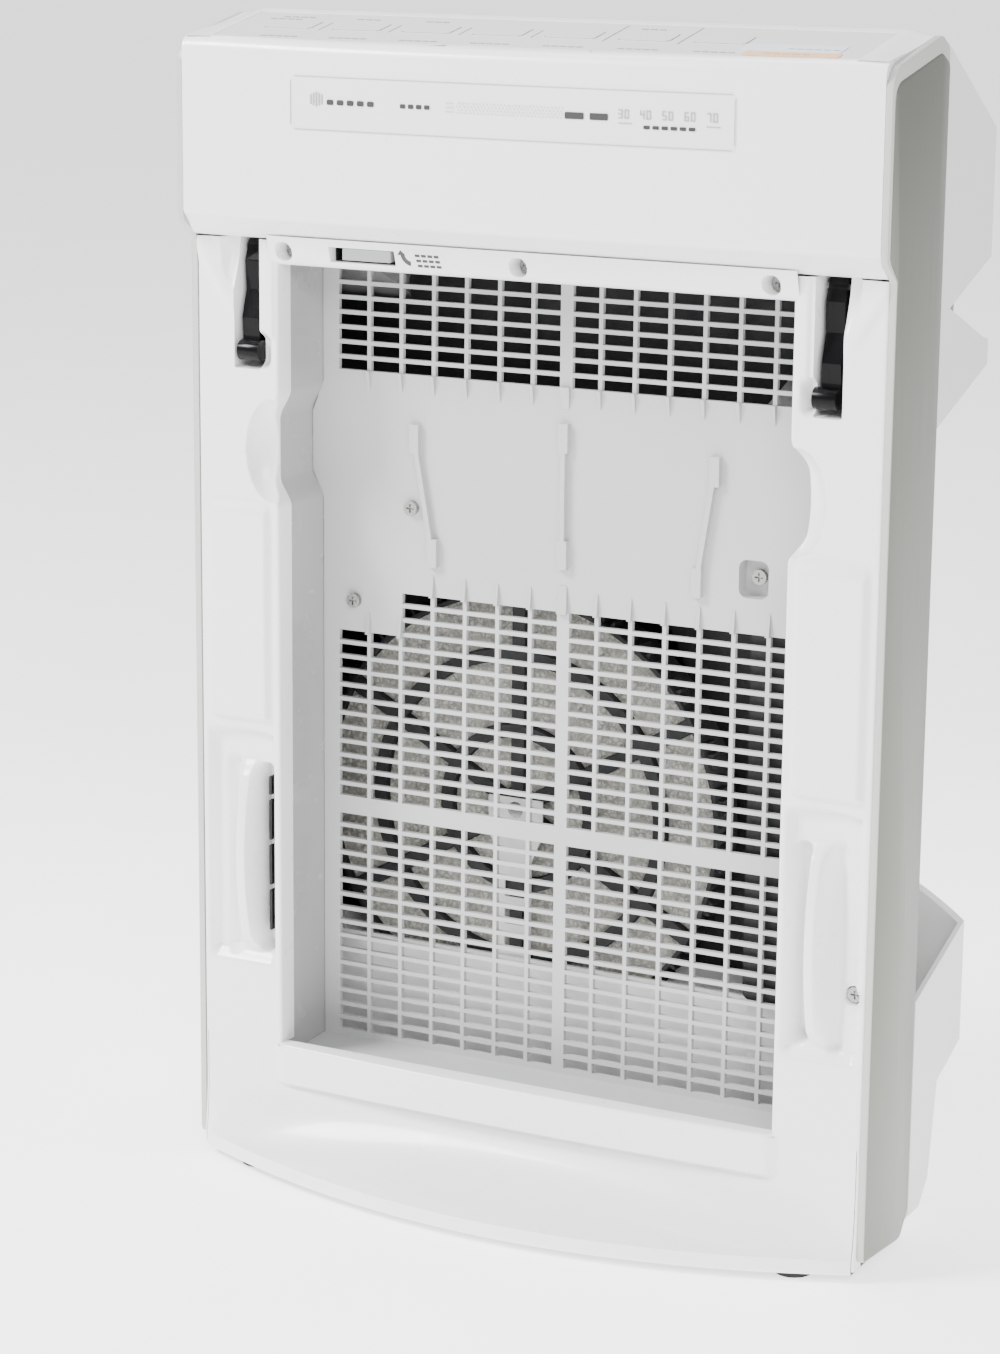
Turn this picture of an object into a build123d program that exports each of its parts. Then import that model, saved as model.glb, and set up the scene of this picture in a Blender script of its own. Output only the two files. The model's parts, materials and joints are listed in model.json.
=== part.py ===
from build123d import *
from math import atan2, cos, degrees, radians, sin, tan
import os

# Air purifier with a humidifying wheel, opened for cleaning: its front panel, filter and tank are out.
# X runs to the right, Y from front to back and Z up. The origin is on the floor, under the middle.
# Depths are measured back from the face of the front frame, so every sketch starts on one of three
# planes that carry that offset: plan(z) looks down, face(y) looks at the front, flank(x) at the side.

# ---------------------------------------------------------------- driving dimensions, millimetres
WIDTH = 360.0
HALF = WIDTH / 2
FRONT = -71.0            # the front frame's face, measured from the middle of the footprint
SKIN = 2.5               # wall of the large mouldings
GAP = 0.3                # clearance between separate pieces

PANEL = 3.5              # side panels
PANEL_DEPTH = 55.5
INNER = HALF - PANEL - 0.2

FEET = 3.0
BASE_TOP = 8.0
APRON_LOW = 4.0
APRON_TOP = 43.4
APRON_BOW = 44.0         # how far the foot of the apron curves out

BAY_DEPTH = 42.0
BAY_HALF = 132.0
BAY_BULGE = 6.0
BAY_TOP = 452.0
LIP_TOP = 65.0
FRAME_TOP = 463.0

HEAD_FRONT = 12.0        # the head stands this far out at its ends
HEAD_BOW = 6.0           # and this much further at its middle
HEAD_LOW = 471.5
HEAD_TOP = 555.6         # at the front edge of the bowed face
APEX_DEPTH = 46.0        # the top climbs to here and then falls along the outlet slope
APEX_TOP = 568.7
PANEL_APEX = 566.3       # the side panels stay a little lower than the rounded head

OUTLET_TILT = 31.66      # slope of the outlet face, degrees
REAR_HALF = 178.3
REAR_FRONT = PANEL_DEPTH + GAP
TOP_REAR = APEX_TOP - (REAR_FRONT - APEX_DEPTH) * tan(radians(OUTLET_TILT))
REAR_SIDE = 122.5        # depth of the rear casing at its sides
REAR_MIDDLE = 186.0      # and at its middle

FAN_X = -35.0
FAN_Z = 235.0
FAN_RADIUS = 90.0
BULKHEAD = 95.5
BULKHEAD_BACK = 98.0

WHEEL_X = -35.0
WHEEL_Z = 183.0
WHEEL_PITCH = 110.0
WHEEL_TEETH = 120
PINION_TEETH = 12
PINION_PITCH = WHEEL_PITCH * PINION_TEETH / WHEEL_TEETH
WHEEL_NEAR = 64.0
WHEEL_FAR = 88.0
AXLE = 4.0

TRAY_FLOOR = 26.0
TRAY_TOP = 108.0
BIN_LEFT = 97.3
BIN_FRONT_TOP = 118.5
BIN_SLOPE = 0.369        # the rim of the bin climbs to the back
BAY_WALL = 97.0          # left wall of the tank bay
ROOF_Z = 390.5           # roof of the tank bay at its front
ROOF_SLOPE = 0.3417

ARM_PIVOT_Y = 13.0
ARM_PIVOT_Z = 458.0
PIN = 2.0                # pins of the arms and of the louver
RUN = 0.05               # radial clearance of a running fit

KEYS = 7
KEY_PITCH = 36.8
KEY_FIRST = -132.0


# ---------------------------------------------------------------- planes and plain shapes
def plan(z):
    return Plane(origin=(0, FRONT, z))


def face(y):
    return Plane(origin=(0, FRONT + y, 0), x_dir=(1, 0, 0), z_dir=(0, -1, 0))


def flank(x):
    return Plane(origin=(x, FRONT, 0), x_dir=(0, 1, 0), z_dir=(1, 0, 0))


def middle(limits):
    return (limits[0] + limits[1]) / 2


def length(limits):
    return limits[1] - limits[0]


def mirrored(limits, side):
    """The same span on the right, side 1, or on the left, side -1."""
    return (min(side * limits[0], side * limits[1]), max(side * limits[0], side * limits[1]))


def block(x, y, z, mode=Mode.ADD):
    with Locations((middle(x), FRONT + middle(y), middle(z))):
        Box(length(x), length(y), length(z), mode=mode)


def rod_y(x, z, y, radius, mode=Mode.ADD):
    with Locations((x, FRONT + middle(y), z)):
        Cylinder(radius, length(y), rotation=(90, 0, 0), mode=mode)


def rod_x(y, z, x, radius, mode=Mode.ADD):
    with Locations((middle(x), FRONT + y, z)):
        Cylinder(radius, length(x), rotation=(0, 90, 0), mode=mode)


def prism_x(points, x, mode=Mode.ADD):
    """A side-view outline of (depth, height) points, drawn out along the width."""
    with BuildSketch(flank(x[0])) as side:
        with BuildLine() as edge:
            Polyline(*points, close=True)
        make_face(edge.edges())
    extrude(side.sketch, amount=length(x), mode=mode)


def save(piece, label):
    piece.part.label = label
    export_step(piece.part, "parts/" + label + ".step")


os.makedirs("parts", exist_ok=True)

# ---------------------------------------------------------------- base, feet and apron


def crescent(half, bow, back):
    """Plan of the foot of the machine: straight back, sides, and a front that bows out."""
    with BuildLine() as edge:
        ThreePointArc((half, 0), (0, -bow), (-half, 0))
        Polyline((-half, 0), (-half, back), (half, back), (half, 0))
    make_face(edge.edges())


SOLE_HALF = INNER - SKIN
SOLE_BOW = APRON_BOW - 4.5   # the sole ends inside the wall of the apron
SOLE_SIDE = 56.0
SOLE_BACK = 122.0
FOOT_RADIUS = 9.0
FRONT_FEET = (145.0, 0.0)    # half spacing and depth
REAR_FEET = (78.0, 97.0)

with BuildPart() as base_plate:
    with BuildSketch(plan(FEET)):
        crescent(SOLE_HALF, SOLE_BOW, SOLE_SIDE)
    extrude(amount=BASE_TOP - FEET)
    with BuildSketch(plan(FEET)):
        with BuildLine():
            ThreePointArc((SOLE_HALF, SOLE_SIDE), (0, SOLE_BACK), (-SOLE_HALF, SOLE_SIDE))
            Line((-SOLE_HALF, SOLE_SIDE), (SOLE_HALF, SOLE_SIDE))
        make_face()
    extrude(amount=BASE_TOP - FEET)
save(base_plate, "base_plate")

with BuildPart() as rubber_feet:
    with Locations(*[(side * spacing, FRONT + depth, FEET / 2)
                     for spacing, depth in (FRONT_FEET, REAR_FEET) for side in (-1, 1)]):
        Cylinder(FOOT_RADIUS, FEET)
save(rubber_feet, "rubber_feet")

# height above the floor, and the share of the bow that is left there
APRON_STEPS = ((APRON_LOW, 1.0), (12, 0.95), (22, 0.66), (32, 0.28), (APRON_TOP, 0.06))
APRON_BACK = 9.0


def apron_body(wall):
    """The swept foot of the front: its bow grows towards the floor."""
    sections = []
    for height, share in APRON_STEPS:
        with BuildSketch(plan(height)) as step:
            crescent(INNER - wall, 1.0 + (APRON_BOW - 1.0) * share - wall, 40 - wall)
        sections.append(step.sketch)
    loft(sections)


with BuildPart() as apron_inside:
    apron_body(SKIN)

with BuildPart() as base_apron:
    apron_body(0)
    add(apron_inside.part, mode=Mode.SUBTRACT)
    block((-INNER - 1, INNER + 1), (APRON_BACK, 2 * SOLE_SIDE), (0, 2 * APRON_TOP), mode=Mode.SUBTRACT)
save(base_apron, "base_apron")

# ---------------------------------------------------------------- side panels
PANEL_OUTLINE = (
    (0, 10), (46, 6), (PANEL_DEPTH, 17), (PANEL_DEPTH, TOP_REAR - 2), (APEX_DEPTH, PANEL_APEX),
    (-5, HEAD_TOP), (-HEAD_FRONT, 548), (-HEAD_FRONT, HEAD_LOW), (0, FRAME_TOP),
)
PANEL_EDGE = 0.6


def side_panel(side):
    with BuildPart() as panel:
        start = min(side * HALF, side * (HALF - PANEL))
        prism_x(PANEL_OUTLINE, (start, start + PANEL))
        outer = panel.faces().sort_by(Axis.X)[-1 if side > 0 else 0]
        chamfer(outer.edges(), PANEL_EDGE)
    return panel


save(side_panel(-1), "side_panel_left")
save(side_panel(1), "side_panel_right")


# ---------------------------------------------------------------- front frame
def bay_outline(grow, bottom):
    """The filter opening: upright sides that bulge out beside the upper plate."""
    right = [
        (BAY_HALF + grow, bottom - grow), (BAY_HALF + grow, 334),
        (BAY_HALF + BAY_BULGE + grow, 347), (BAY_HALF + BAY_BULGE + grow, 376),
        (BAY_HALF + grow, 391), (BAY_HALF + grow, BAY_TOP + grow),
    ]
    left = [(-x, z) for x, z in reversed(right)]
    with BuildLine() as edge:
        Polyline(*right, *left, close=True)
    make_face(edge.edges())


BAY_FLOOR = 54.0
WALL = 2.2
FACE_WALL = 3.0
LIP_HALF = 131.0
LIP_BOW = 5.0
PAD_X = (138.0, 172.0)
PAD_Z = (229.0, 336.0)
PAD_RISE = 1.6
ARM_SLOT = (141.8, 156.2)
ARM_SLOT_Z = (402.0, FRAME_TOP + 1)
WELL_BACK = 32.0
SCREW_X = (-127.0, -3.0, 122.0)
SCREW_Z = 458.3
SCREW_WELL = 3.9
RAIL_SCREW = (169.0, 137.0)
SEAT_DEPTH = 9.0         # where the heads of those screws rest
SWITCH_X = (-102.0, -67.0)
SWITCH_Z = (BAY_TOP + 3.2, FRAME_TOP - 1.4)
GRIP_Z = (112.0, 194.0)
GRIP_X = (136.2, 157.0)
GRIP_BACK = 14.0
GRIP_BAR = (149.0, 157.0)
GRIP_BAR_OUT = -11.0     # the bar's crest stands this far out of the face

def grip(side):
    """A pocket in the rail for the fingers that reach behind the grip's bar."""
    pocket = mirrored(GRIP_X, side)
    around_x = (pocket[0] - WALL, pocket[1] + WALL)
    around_z = (GRIP_Z[0] - WALL, GRIP_Z[1] + WALL)
    block(pocket, (-1, FACE_WALL + 1), GRIP_Z, mode=Mode.SUBTRACT)
    block(around_x, (GRIP_BACK, GRIP_BACK + WALL), around_z)
    block(around_x, (FACE_WALL, GRIP_BACK), (around_z[0], GRIP_Z[0]))
    block(around_x, (FACE_WALL, GRIP_BACK), (GRIP_Z[1], around_z[1]))
    block(mirrored((GRIP_X[1], GRIP_X[1] + WALL), side), (FACE_WALL, GRIP_BACK), GRIP_Z)


def grip_bar(side):
    """The crescent bar in the outer part of the pocket."""
    bar = mirrored(GRIP_BAR, side)
    with BuildSketch(flank(bar[0])) as profile:
        with BuildLine() as bar_edge:
            ThreePointArc((GRIP_BACK, GRIP_Z[0]), (GRIP_BAR_OUT, middle(GRIP_Z)), (GRIP_BACK, GRIP_Z[1]))
            Line((GRIP_BACK, GRIP_Z[1]), (GRIP_BACK, GRIP_Z[0]))
        make_face(bar_edge.edges())
    extrude(profile.sketch, amount=length(bar))


def arm_well(side):
    """The slot in the rail that a black arm stands in, with walls around it."""
    slot = mirrored(ARM_SLOT, side)
    around_x = (slot[0] - WALL, slot[1] + WALL)
    low = ARM_SLOT_Z[0]
    block(slot, (-1, FACE_WALL + 1), ARM_SLOT_Z, mode=Mode.SUBTRACT)
    block(around_x, (WELL_BACK, WELL_BACK + WALL), (low - WALL, FRAME_TOP))
    block(around_x, (FACE_WALL, WELL_BACK), (low - WALL, low))
    block((around_x[0], slot[0]), (FACE_WALL, WELL_BACK), (low, FRAME_TOP))
    block((slot[1], around_x[1]), (FACE_WALL, WELL_BACK), (low, FRAME_TOP))


with BuildPart() as front_frame:
    with BuildSketch(face(0)):
        with BuildLine():
            Polyline((-INNER, APRON_TOP + GAP), (INNER, APRON_TOP + GAP), (INNER, FRAME_TOP),
                     (-INNER, FRAME_TOP), close=True)
        make_face()
        with BuildSketch(mode=Mode.PRIVATE) as opening:
            bay_outline(0, LIP_TOP)
        add(opening.sketch, mode=Mode.SUBTRACT)
    extrude(amount=-FACE_WALL)
    with BuildSketch(face(FACE_WALL)):
        bay_outline(WALL, BAY_FLOOR)
        with BuildSketch(mode=Mode.PRIVATE) as inside:
            bay_outline(0, BAY_FLOOR)
        add(inside.sketch, mode=Mode.SUBTRACT)
    extrude(amount=-(BAY_DEPTH + 0.5))
    # lower lip, bowed a little to the front
    with BuildSketch(plan(APRON_TOP + GAP)):
        with BuildLine():
            ThreePointArc((LIP_HALF, 0), (0, -LIP_BOW), (-LIP_HALF, 0))
            Line((-LIP_HALF, 0), (LIP_HALF, 0))
        make_face()
    extrude(amount=LIP_TOP - APRON_TOP - GAP)
    for side in (-1, 1):
        block(mirrored(PAD_X, side), (-PAD_RISE, 0), PAD_Z)
        grip(side)
        arm_well(side)
    # wells of the three screws behind the top band, and the window of the switch
    for x in SCREW_X:
        rod_y(x, SCREW_Z, (FACE_WALL, SEAT_DEPTH + 2), SCREW_WELL + 0.8)
    for x in SCREW_X:
        rod_y(x, SCREW_Z, (-5, SEAT_DEPTH), SCREW_WELL, mode=Mode.SUBTRACT)
        rod_y(x, SCREW_Z, (SEAT_DEPTH - 2, SEAT_DEPTH + 4), 1.6, mode=Mode.SUBTRACT)
    block(SWITCH_X, (-1, FACE_WALL + 1), SWITCH_Z, mode=Mode.SUBTRACT)
    # seat of the rail screw
    rod_y(*RAIL_SCREW, (0, 12), 6.0)
    rod_y(*RAIL_SCREW, (-1, 8), 4.2, mode=Mode.SUBTRACT)
    rod_y(*RAIL_SCREW, (5, 20), 1.6, mode=Mode.SUBTRACT)
save(front_frame, "front_frame")

with BuildPart() as grip_bars:
    for side in (-1, 1):
        grip_bar(side)
save(grip_bars, "grip_bars")

# ---------------------------------------------------------------- control head


HEAD_CREST = -HEAD_FRONT - HEAD_BOW      # depth of the bowed face at its middle
HEAD_BACK = PANEL_DEPTH - GAP
TOP_SLOPE = (APEX_TOP - HEAD_TOP) / (APEX_DEPTH - HEAD_CREST)


def top_height(depth):
    """Height of the head's top, which climbs evenly to the apex and falls along the outlet slope."""
    if depth > APEX_DEPTH:
        return APEX_TOP - (depth - APEX_DEPTH) * tan(radians(OUTLET_TILT))
    return HEAD_TOP + (depth - HEAD_CREST) * TOP_SLOPE


def head_body(wall):
    """The head: a bowed front, a climbing top and an underside cut back to the frame."""
    nose = HEAD_CREST - 3
    with BuildSketch(flank(-INNER + wall)) as side:
        with BuildLine() as edge:
            Polyline(
                (-1.5 + wall, FRAME_TOP + GAP + wall),
                (nose + wall, HEAD_LOW + 2.5 + wall),
                (nose + wall, top_height(nose) - wall),
                (APEX_DEPTH, APEX_TOP - wall),
                (HEAD_BACK + wall, top_height(HEAD_BACK) - wall),
                (HEAD_BACK + wall, FRAME_TOP + GAP + wall),
                close=True,
            )
        make_face(edge.edges())
    extrude(side.sketch, amount=2 * (INNER - wall))
    end = INNER - wall
    side_depth = -HEAD_FRONT + wall
    with BuildSketch(plan(FRAME_TOP)) as shadow:
        with BuildLine() as bow:
            ThreePointArc((end, side_depth), (0, HEAD_CREST + wall), (-end, side_depth))
            Polyline((-end, side_depth), (-end, 2 * HEAD_BACK), (end, 2 * HEAD_BACK), (end, side_depth))
        make_face(bow.edges())
    extrude(shadow.sketch, amount=APEX_TOP, mode=Mode.INTERSECT)


HEAD_TILT = degrees(atan2(TOP_SLOPE, 1))
KEY_DEPTH = 14.0         # depth of the middle of the key overlay
HEAD_PLANE = Plane(
    origin=(0, FRONT + KEY_DEPTH, top_height(KEY_DEPTH)),
    x_dir=(1, 0, 0), z_dir=(0, -sin(radians(HEAD_TILT)), cos(radians(HEAD_TILT))),
)
KEY_SIZE = (25.0, 13.0)
OVERLAY = (324.0, 48.0)
WINDOW_X = (-115.0, 109.0)
WINDOW_Z = (516.5, 541.5)
BAND_HALF = 134.5


def key_centres():
    return [(KEY_FIRST + KEY_PITCH * number, 2.0) for number in range(KEYS)]


with BuildPart() as head_inside:
    head_body(SKIN)
    fillet(head_inside.edges().filter_by(Axis.X).sort_by(Axis.Y)[:2].sort_by(Axis.Z)[-1:], 5)

with BuildPart() as control_head:
    head_body(0)
    add(head_inside.part, mode=Mode.SUBTRACT)
    # band below the head, over the top rail of the frame
    block((-BAND_HALF, BAND_HALF), (-1.5, -0.2), (BAY_TOP + 0.6, FRAME_TOP + 2))
    for x in SCREW_X:
        rod_y(x, SCREW_Z, (-8, 3), SCREW_WELL, mode=Mode.SUBTRACT)
    block(SWITCH_X, (-6, 0), SWITCH_Z, mode=Mode.SUBTRACT)
    # seats of the display window and of the key overlay
    with BuildSketch(HEAD_PLANE):
        Rectangle(OVERLAY[0] + 0.4, OVERLAY[1] + 0.4)
    extrude(amount=-1.2, mode=Mode.SUBTRACT)
    with BuildSketch(HEAD_PLANE):
        with Locations(*key_centres()):
            Rectangle(KEY_SIZE[0] - 5, KEY_SIZE[1] - 5)
    extrude(amount=-8, mode=Mode.SUBTRACT)
save(control_head, "control_head")


def head_front_y(x):
    """Depth of the bowed front face of the head at x."""
    radius = (INNER ** 2 + HEAD_BOW ** 2) / (2 * HEAD_BOW)
    return -HEAD_FRONT - HEAD_BOW + radius - (radius ** 2 - x ** 2) ** 0.5


# the window is a thin curved plate that lies on the bowed face
WINDOW_THICK = 0.4


def window_arc(lift):
    """The bowed face between the window's ends, lifted off it by a little."""
    return ThreePointArc(*[(x, head_front_y(x) - lift) for x in (WINDOW_X[0], 0, WINDOW_X[1])])


with BuildPart() as display_window:
    with BuildSketch(plan(WINDOW_Z[0])):
        with BuildLine():
            near_face = window_arc(0.1)
            outside = window_arc(0.1 + WINDOW_THICK)
            Line(near_face @ 0, outside @ 0)
            Line(near_face @ 1, outside @ 1)
        make_face()
    extrude(amount=length(WINDOW_Z))
    fillet(display_window.edges().filter_by(Axis.Y), 2.5)
save(display_window, "display_window")

with BuildPart() as key_overlay:
    with BuildSketch(HEAD_PLANE.offset(-1.1)):
        RectangleRounded(OVERLAY[0], OVERLAY[1], 3)
        with Locations(*key_centres()):
            RectangleRounded(KEY_SIZE[0] + 0.8, KEY_SIZE[1] + 0.8, 2, mode=Mode.SUBTRACT)
    extrude(amount=1.0)
save(key_overlay, "key_overlay")

for number, centre in enumerate(key_centres(), start=1):
    with BuildPart() as key:
        with BuildSketch(HEAD_PLANE.offset(-0.1)):
            with Locations(centre):
                RectangleRounded(KEY_SIZE[0], KEY_SIZE[1], 1.8)
        extrude(amount=0.4)
        with BuildSketch(HEAD_PLANE.offset(-0.1)):
            with Locations(centre):
                Rectangle(KEY_SIZE[0] - 8, KEY_SIZE[1] - 7)
        extrude(amount=-5)
    save(key, "key_" + str(number))

with BuildPart() as control_board:
    with BuildSketch(HEAD_PLANE.offset(-8)):
        Rectangle(300, 36)
    extrude(amount=-1.6)
    with BuildSketch(HEAD_PLANE.offset(-9.6)):
        with Locations((-110, 6), (20, -4), (96, 5)):
            Rectangle(26, 14)
    extrude(amount=-6)
save(control_board, "control_board")

# sprung key that the front panel presses when it is on
with BuildPart() as panel_switch:
    inner_x = (SWITCH_X[0] + 0.5, SWITCH_X[1] - 0.5)
    block((inner_x[0] + 4, inner_x[1] - 4), (1.0, 9), (BAY_TOP + 3.7, FRAME_TOP - 1.9))
    block((inner_x[0] + 8, inner_x[1] - 8), (9, 16), (BAY_TOP + 5, FRAME_TOP - 3))
save(panel_switch, "panel_switch")

with BuildPart() as switch_guard:
    block((SWITCH_X[0] - 3, SWITCH_X[1] + 3), (3.1, 21), (BAY_TOP + WALL + 0.1, FRAME_TOP))
    block(inner_x, (2, 20), (BAY_TOP + 3.3, FRAME_TOP - 1.5), mode=Mode.SUBTRACT)
save(switch_guard, "switch_guard")

with BuildPart() as notice_label:
    block((-66, -40), (-1.8, -1.5), (BAY_TOP + 1.5, FRAME_TOP - 0.5))
save(notice_label, "notice_label")


def pan_screw(x, z, back, shank):
    """A pan-head screw seen from the front; back is the depth its head rests at."""
    rod_y(x, z, (back - 2.6, back), 3.6)
    rod_y(x, z, (back, back + shank), 1.5)
    with Locations((x, FRONT + back - 2.6, z)):
        Box(4.2, 2.4, 0.9, mode=Mode.SUBTRACT)
        Box(0.9, 2.4, 4.2, mode=Mode.SUBTRACT)


with BuildPart() as head_screws:
    for x in SCREW_X:
        pan_screw(x, SCREW_Z, SEAT_DEPTH, 1.5)
save(head_screws, "head_screws")

with BuildPart() as frame_screw:
    pan_screw(*RAIL_SCREW, 8, 3.5)
save(frame_screw, "frame_screw")

# ---------------------------------------------------------------- filter grille at the back of the bay
COLUMN = 17.7
COLUMNS = 14
ROW = 7.2
BAR = 2.0
CENTRE_BAR = 6.5
GRILLE_HALF = COLUMN * COLUMNS / 2
LOWER_Z = 60.6
LOWER_ROWS = 32
LOWER_TOP = LOWER_Z + ROW * LOWER_ROWS
UPPER_Z = 396.6
UPPER_ROWS = 7
CORNER_X = -86.0         # left of this the top rows of the lower field are solid
CORNER_Z = 269.0
WIDE_BAR_Z = 181.6
GRILLE_FACE = BAY_DEPTH
GRILLE_BACK = BAY_DEPTH + 2.6
RIBS = (((-80, 367), (-70, 312)), ((0, 374), (0, 318)), ((78, 365), (70, 312)))
POCKET_SCREW = (98.0, 316.0)
PLATE_SCREWS = ((-82.0, 333.0), (-114.0, 284.0))
POCKET_DEPTH = 8.6


def cell_wires(bottom, rows):
    """Outlines of the openings of one barred field, row by row."""
    wires = []
    for row in range(rows):
        low = bottom + ROW * row + BAR / 2
        high = low + ROW - BAR
        in_corner = bottom == LOWER_Z and low > CORNER_Z - BAR
        for number in range(COLUMNS):
            left = -GRILLE_HALF + COLUMN * number + BAR / 2
            right = left + COLUMN - BAR
            if right > -CENTRE_BAR / 2 and left < CENTRE_BAR / 2:
                left, right = (left, -CENTRE_BAR / 2) if left < 0 else (CENTRE_BAR / 2, right)
            if in_corner and right < CORNER_X:
                continue
            if low < WIDE_BAR_Z < high:
                continue
            wires.append(Wire.make_polygon([(left, low), (right, low), (right, high), (left, high)]))
    return wires


with BuildSketch(mode=Mode.PRIVATE) as grille_outline:
    bay_outline(-0.3, BAY_FLOOR + 0.5)

with BuildPart() as filter_grille:
    with BuildSketch(face(GRILLE_FACE)):
        openings = cell_wires(LOWER_Z, LOWER_ROWS) + cell_wires(UPPER_Z, UPPER_ROWS)
        add(Face(grille_outline.face().outer_wire(), openings))
    extrude(amount=-(GRILLE_BACK - GRILLE_FACE))
    # sloping ledge that carries the lower edge of the filter
    prism_x(((4, BAY_FLOOR + 1), (BAY_DEPTH, BAY_FLOOR + 1), (BAY_DEPTH, LOWER_Z - BAR), (4, BAY_FLOOR + 3.5)),
            (-BAY_HALF + 0.4, BAY_HALF - 0.4))
    # three ribs with thicker ends on the plate
    for top_point, foot_point in RIBS:
        with BuildSketch(face(GRILLE_FACE)):
            with BuildLine():
                Line(top_point, foot_point)
            trace(line_width=2.4)
            with Locations(top_point, foot_point):
                Rectangle(5, 14)
        extrude(amount=3)
    # seats of the plate screws
    with BuildSketch(face(GRILLE_BACK)):
        with Locations(POCKET_SCREW):
            RectangleRounded(19, 22, 5)
    extrude(amount=-8)
    with BuildSketch(face(GRILLE_FACE)):
        with Locations(POCKET_SCREW):
            RectangleRounded(15, 18, 4)
    extrude(amount=-POCKET_DEPTH, mode=Mode.SUBTRACT)
    for x, z in (POCKET_SCREW, *PLATE_SCREWS):
        rod_y(x, z, (GRILLE_FACE, GRILLE_BACK + 12), 1.6, mode=Mode.SUBTRACT)
save(filter_grille, "filter_grille")

with BuildPart() as grille_screws:
    pan_screw(*POCKET_SCREW, GRILLE_FACE + POCKET_DEPTH, 4)
    for x, z in PLATE_SCREWS:
        pan_screw(x, z, GRILLE_FACE, 6)
save(grille_screws, "grille_screws")

# ---------------------------------------------------------------- chassis and rear casing
CHASSIS_X = 175.5
CHASSIS_WALL = 2.2
CHASSIS_TOP = 457.2
INLET = 78.0             # radius of the fan's inlet

with BuildPart() as chassis:
    block((-CHASSIS_X, BAY_WALL - 3), (BULKHEAD, BULKHEAD_BACK), (TRAY_FLOOR, CHASSIS_TOP))
    # the bulkhead stops short of the stepped foot and of the left handle pocket
    block((-HALF, -110), (90, 100), (0, 85), mode=Mode.SUBTRACT)
    block((-HALF, -113), (90, 100), (424, 462), mode=Mode.SUBTRACT)
    for side in (-1, 1):
        wall = mirrored((CHASSIS_X - CHASSIS_WALL, CHASSIS_X), side)
        block(wall, (14, PANEL_DEPTH - 0.5), (TRAY_FLOOR, CHASSIS_TOP))
    block((-CHASSIS_X, -CHASSIS_X + CHASSIS_WALL), (54, BULKHEAD), (86, 420))
    block((-CHASSIS_X, CHASSIS_X), (46.5, 55), (CHASSIS_TOP - CHASSIS_WALL, CHASSIS_TOP))
    block((-112, 112), (54, BULKHEAD), (CHASSIS_TOP - CHASSIS_WALL, CHASSIS_TOP))
    # ring that leads the air into the fan
    rod_y(FAN_X, FAN_Z, (BULKHEAD_BACK, BULKHEAD_BACK + 3), INLET + 2)
    rod_y(FAN_X, FAN_Z, (90, 110), INLET, mode=Mode.SUBTRACT)
    rod_y(WHEEL_X - WHEEL_PITCH - PINION_PITCH, WHEEL_Z, (90, 110), 6, mode=Mode.SUBTRACT)
save(chassis, "chassis")


def d_plan(half, front, side, back):
    """Plan of the rear casing: straight front and sides, one arc across the back."""
    with BuildLine() as edge:
        ThreePointArc((half, side), (0, back), (-half, side))
        Polyline((-half, side), (-half, front), (half, front), (half, side))
    make_face(edge.edges())


FOOT_Z = 12.0
SHELF_LOW = 70.0
SHELF_TOP = 82.0


def rear_body(wall, front):
    """The whole rear volume: a D in plan, stepped in near the floor, cut off by the outlet slope."""
    steps = ((FOOT_Z + wall, 74, 130), (FOOT_Z + 12 + wall, 85, 146), (SHELF_LOW + wall, 93, 158),
             (SHELF_TOP + wall, REAR_SIDE, REAR_MIDDLE))
    for lower, upper in zip(steps, steps[1:]):
        sections = []
        for height, side_depth, middle_depth in (lower, upper):
            with BuildSketch(plan(height)) as step:
                d_plan(REAR_HALF - wall, front, side_depth - wall, middle_depth - wall)
            sections.append(step.sketch)
        loft(sections, ruled=True)
    with BuildSketch(plan(SHELF_TOP + wall)) as full:
        d_plan(REAR_HALF - wall, front, REAR_SIDE - wall, REAR_MIDDLE - wall)
    extrude(full.sketch, amount=TOP_REAR - SHELF_TOP)
    slope = tan(radians(OUTLET_TILT))
    drop = wall / cos(radians(OUTLET_TILT))
    prism_x(((front - 5, TOP_REAR - drop), (REAR_FRONT, TOP_REAR - drop),
             (200, TOP_REAR - drop - (200 - REAR_FRONT) * slope), (200, TOP_REAR + 30),
             (front - 5, TOP_REAR + 30)),
            (-HALF, HALF), mode=Mode.SUBTRACT)


NOTCH = ((140, 467), (121, 462), (70, 444), (115, 426), (140, 420))
NOTCH_INSIDE = ((140, 470.5), (119, 465), (65, 444.3), (113, 422.8), (140, 416.5))
NOTCH_X = 118.0
GLAND = (-120.0, 110.0)  # where the cord leaves the casing
GLAND_RADIUS = 6.0


def tank_bay(grow):
    """The space for the water tank, open to the right, with a roof that climbs to the back."""
    front = REAR_FRONT + SKIN - grow
    roof = ROOF_Z + grow
    prism_x(((front, 0), (front, roof), (200, roof + (200 - front) * ROOF_SLOPE), (200, 0)),
            (BAY_WALL - grow, 200), mode=Mode.SUBTRACT)


with BuildPart() as rear_inside:
    rear_body(SKIN, 40)
    for side in (-1, 1):
        notch_start = NOTCH_X - SKIN if side > 0 else -200
        prism_x(NOTCH_INSIDE, (notch_start, notch_start + 200 - NOTCH_X + SKIN), mode=Mode.SUBTRACT)
    tank_bay(SKIN)

OUTLET_PLANE = Plane(
    origin=(0, FRONT + REAR_FRONT, TOP_REAR), x_dir=(1, 0, 0),
    z_dir=(0, sin(radians(OUTLET_TILT)), cos(radians(OUTLET_TILT))),
)
OUTLET_HALF = 122.0
OUTLET_V = (14.0, 64.0)

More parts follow.
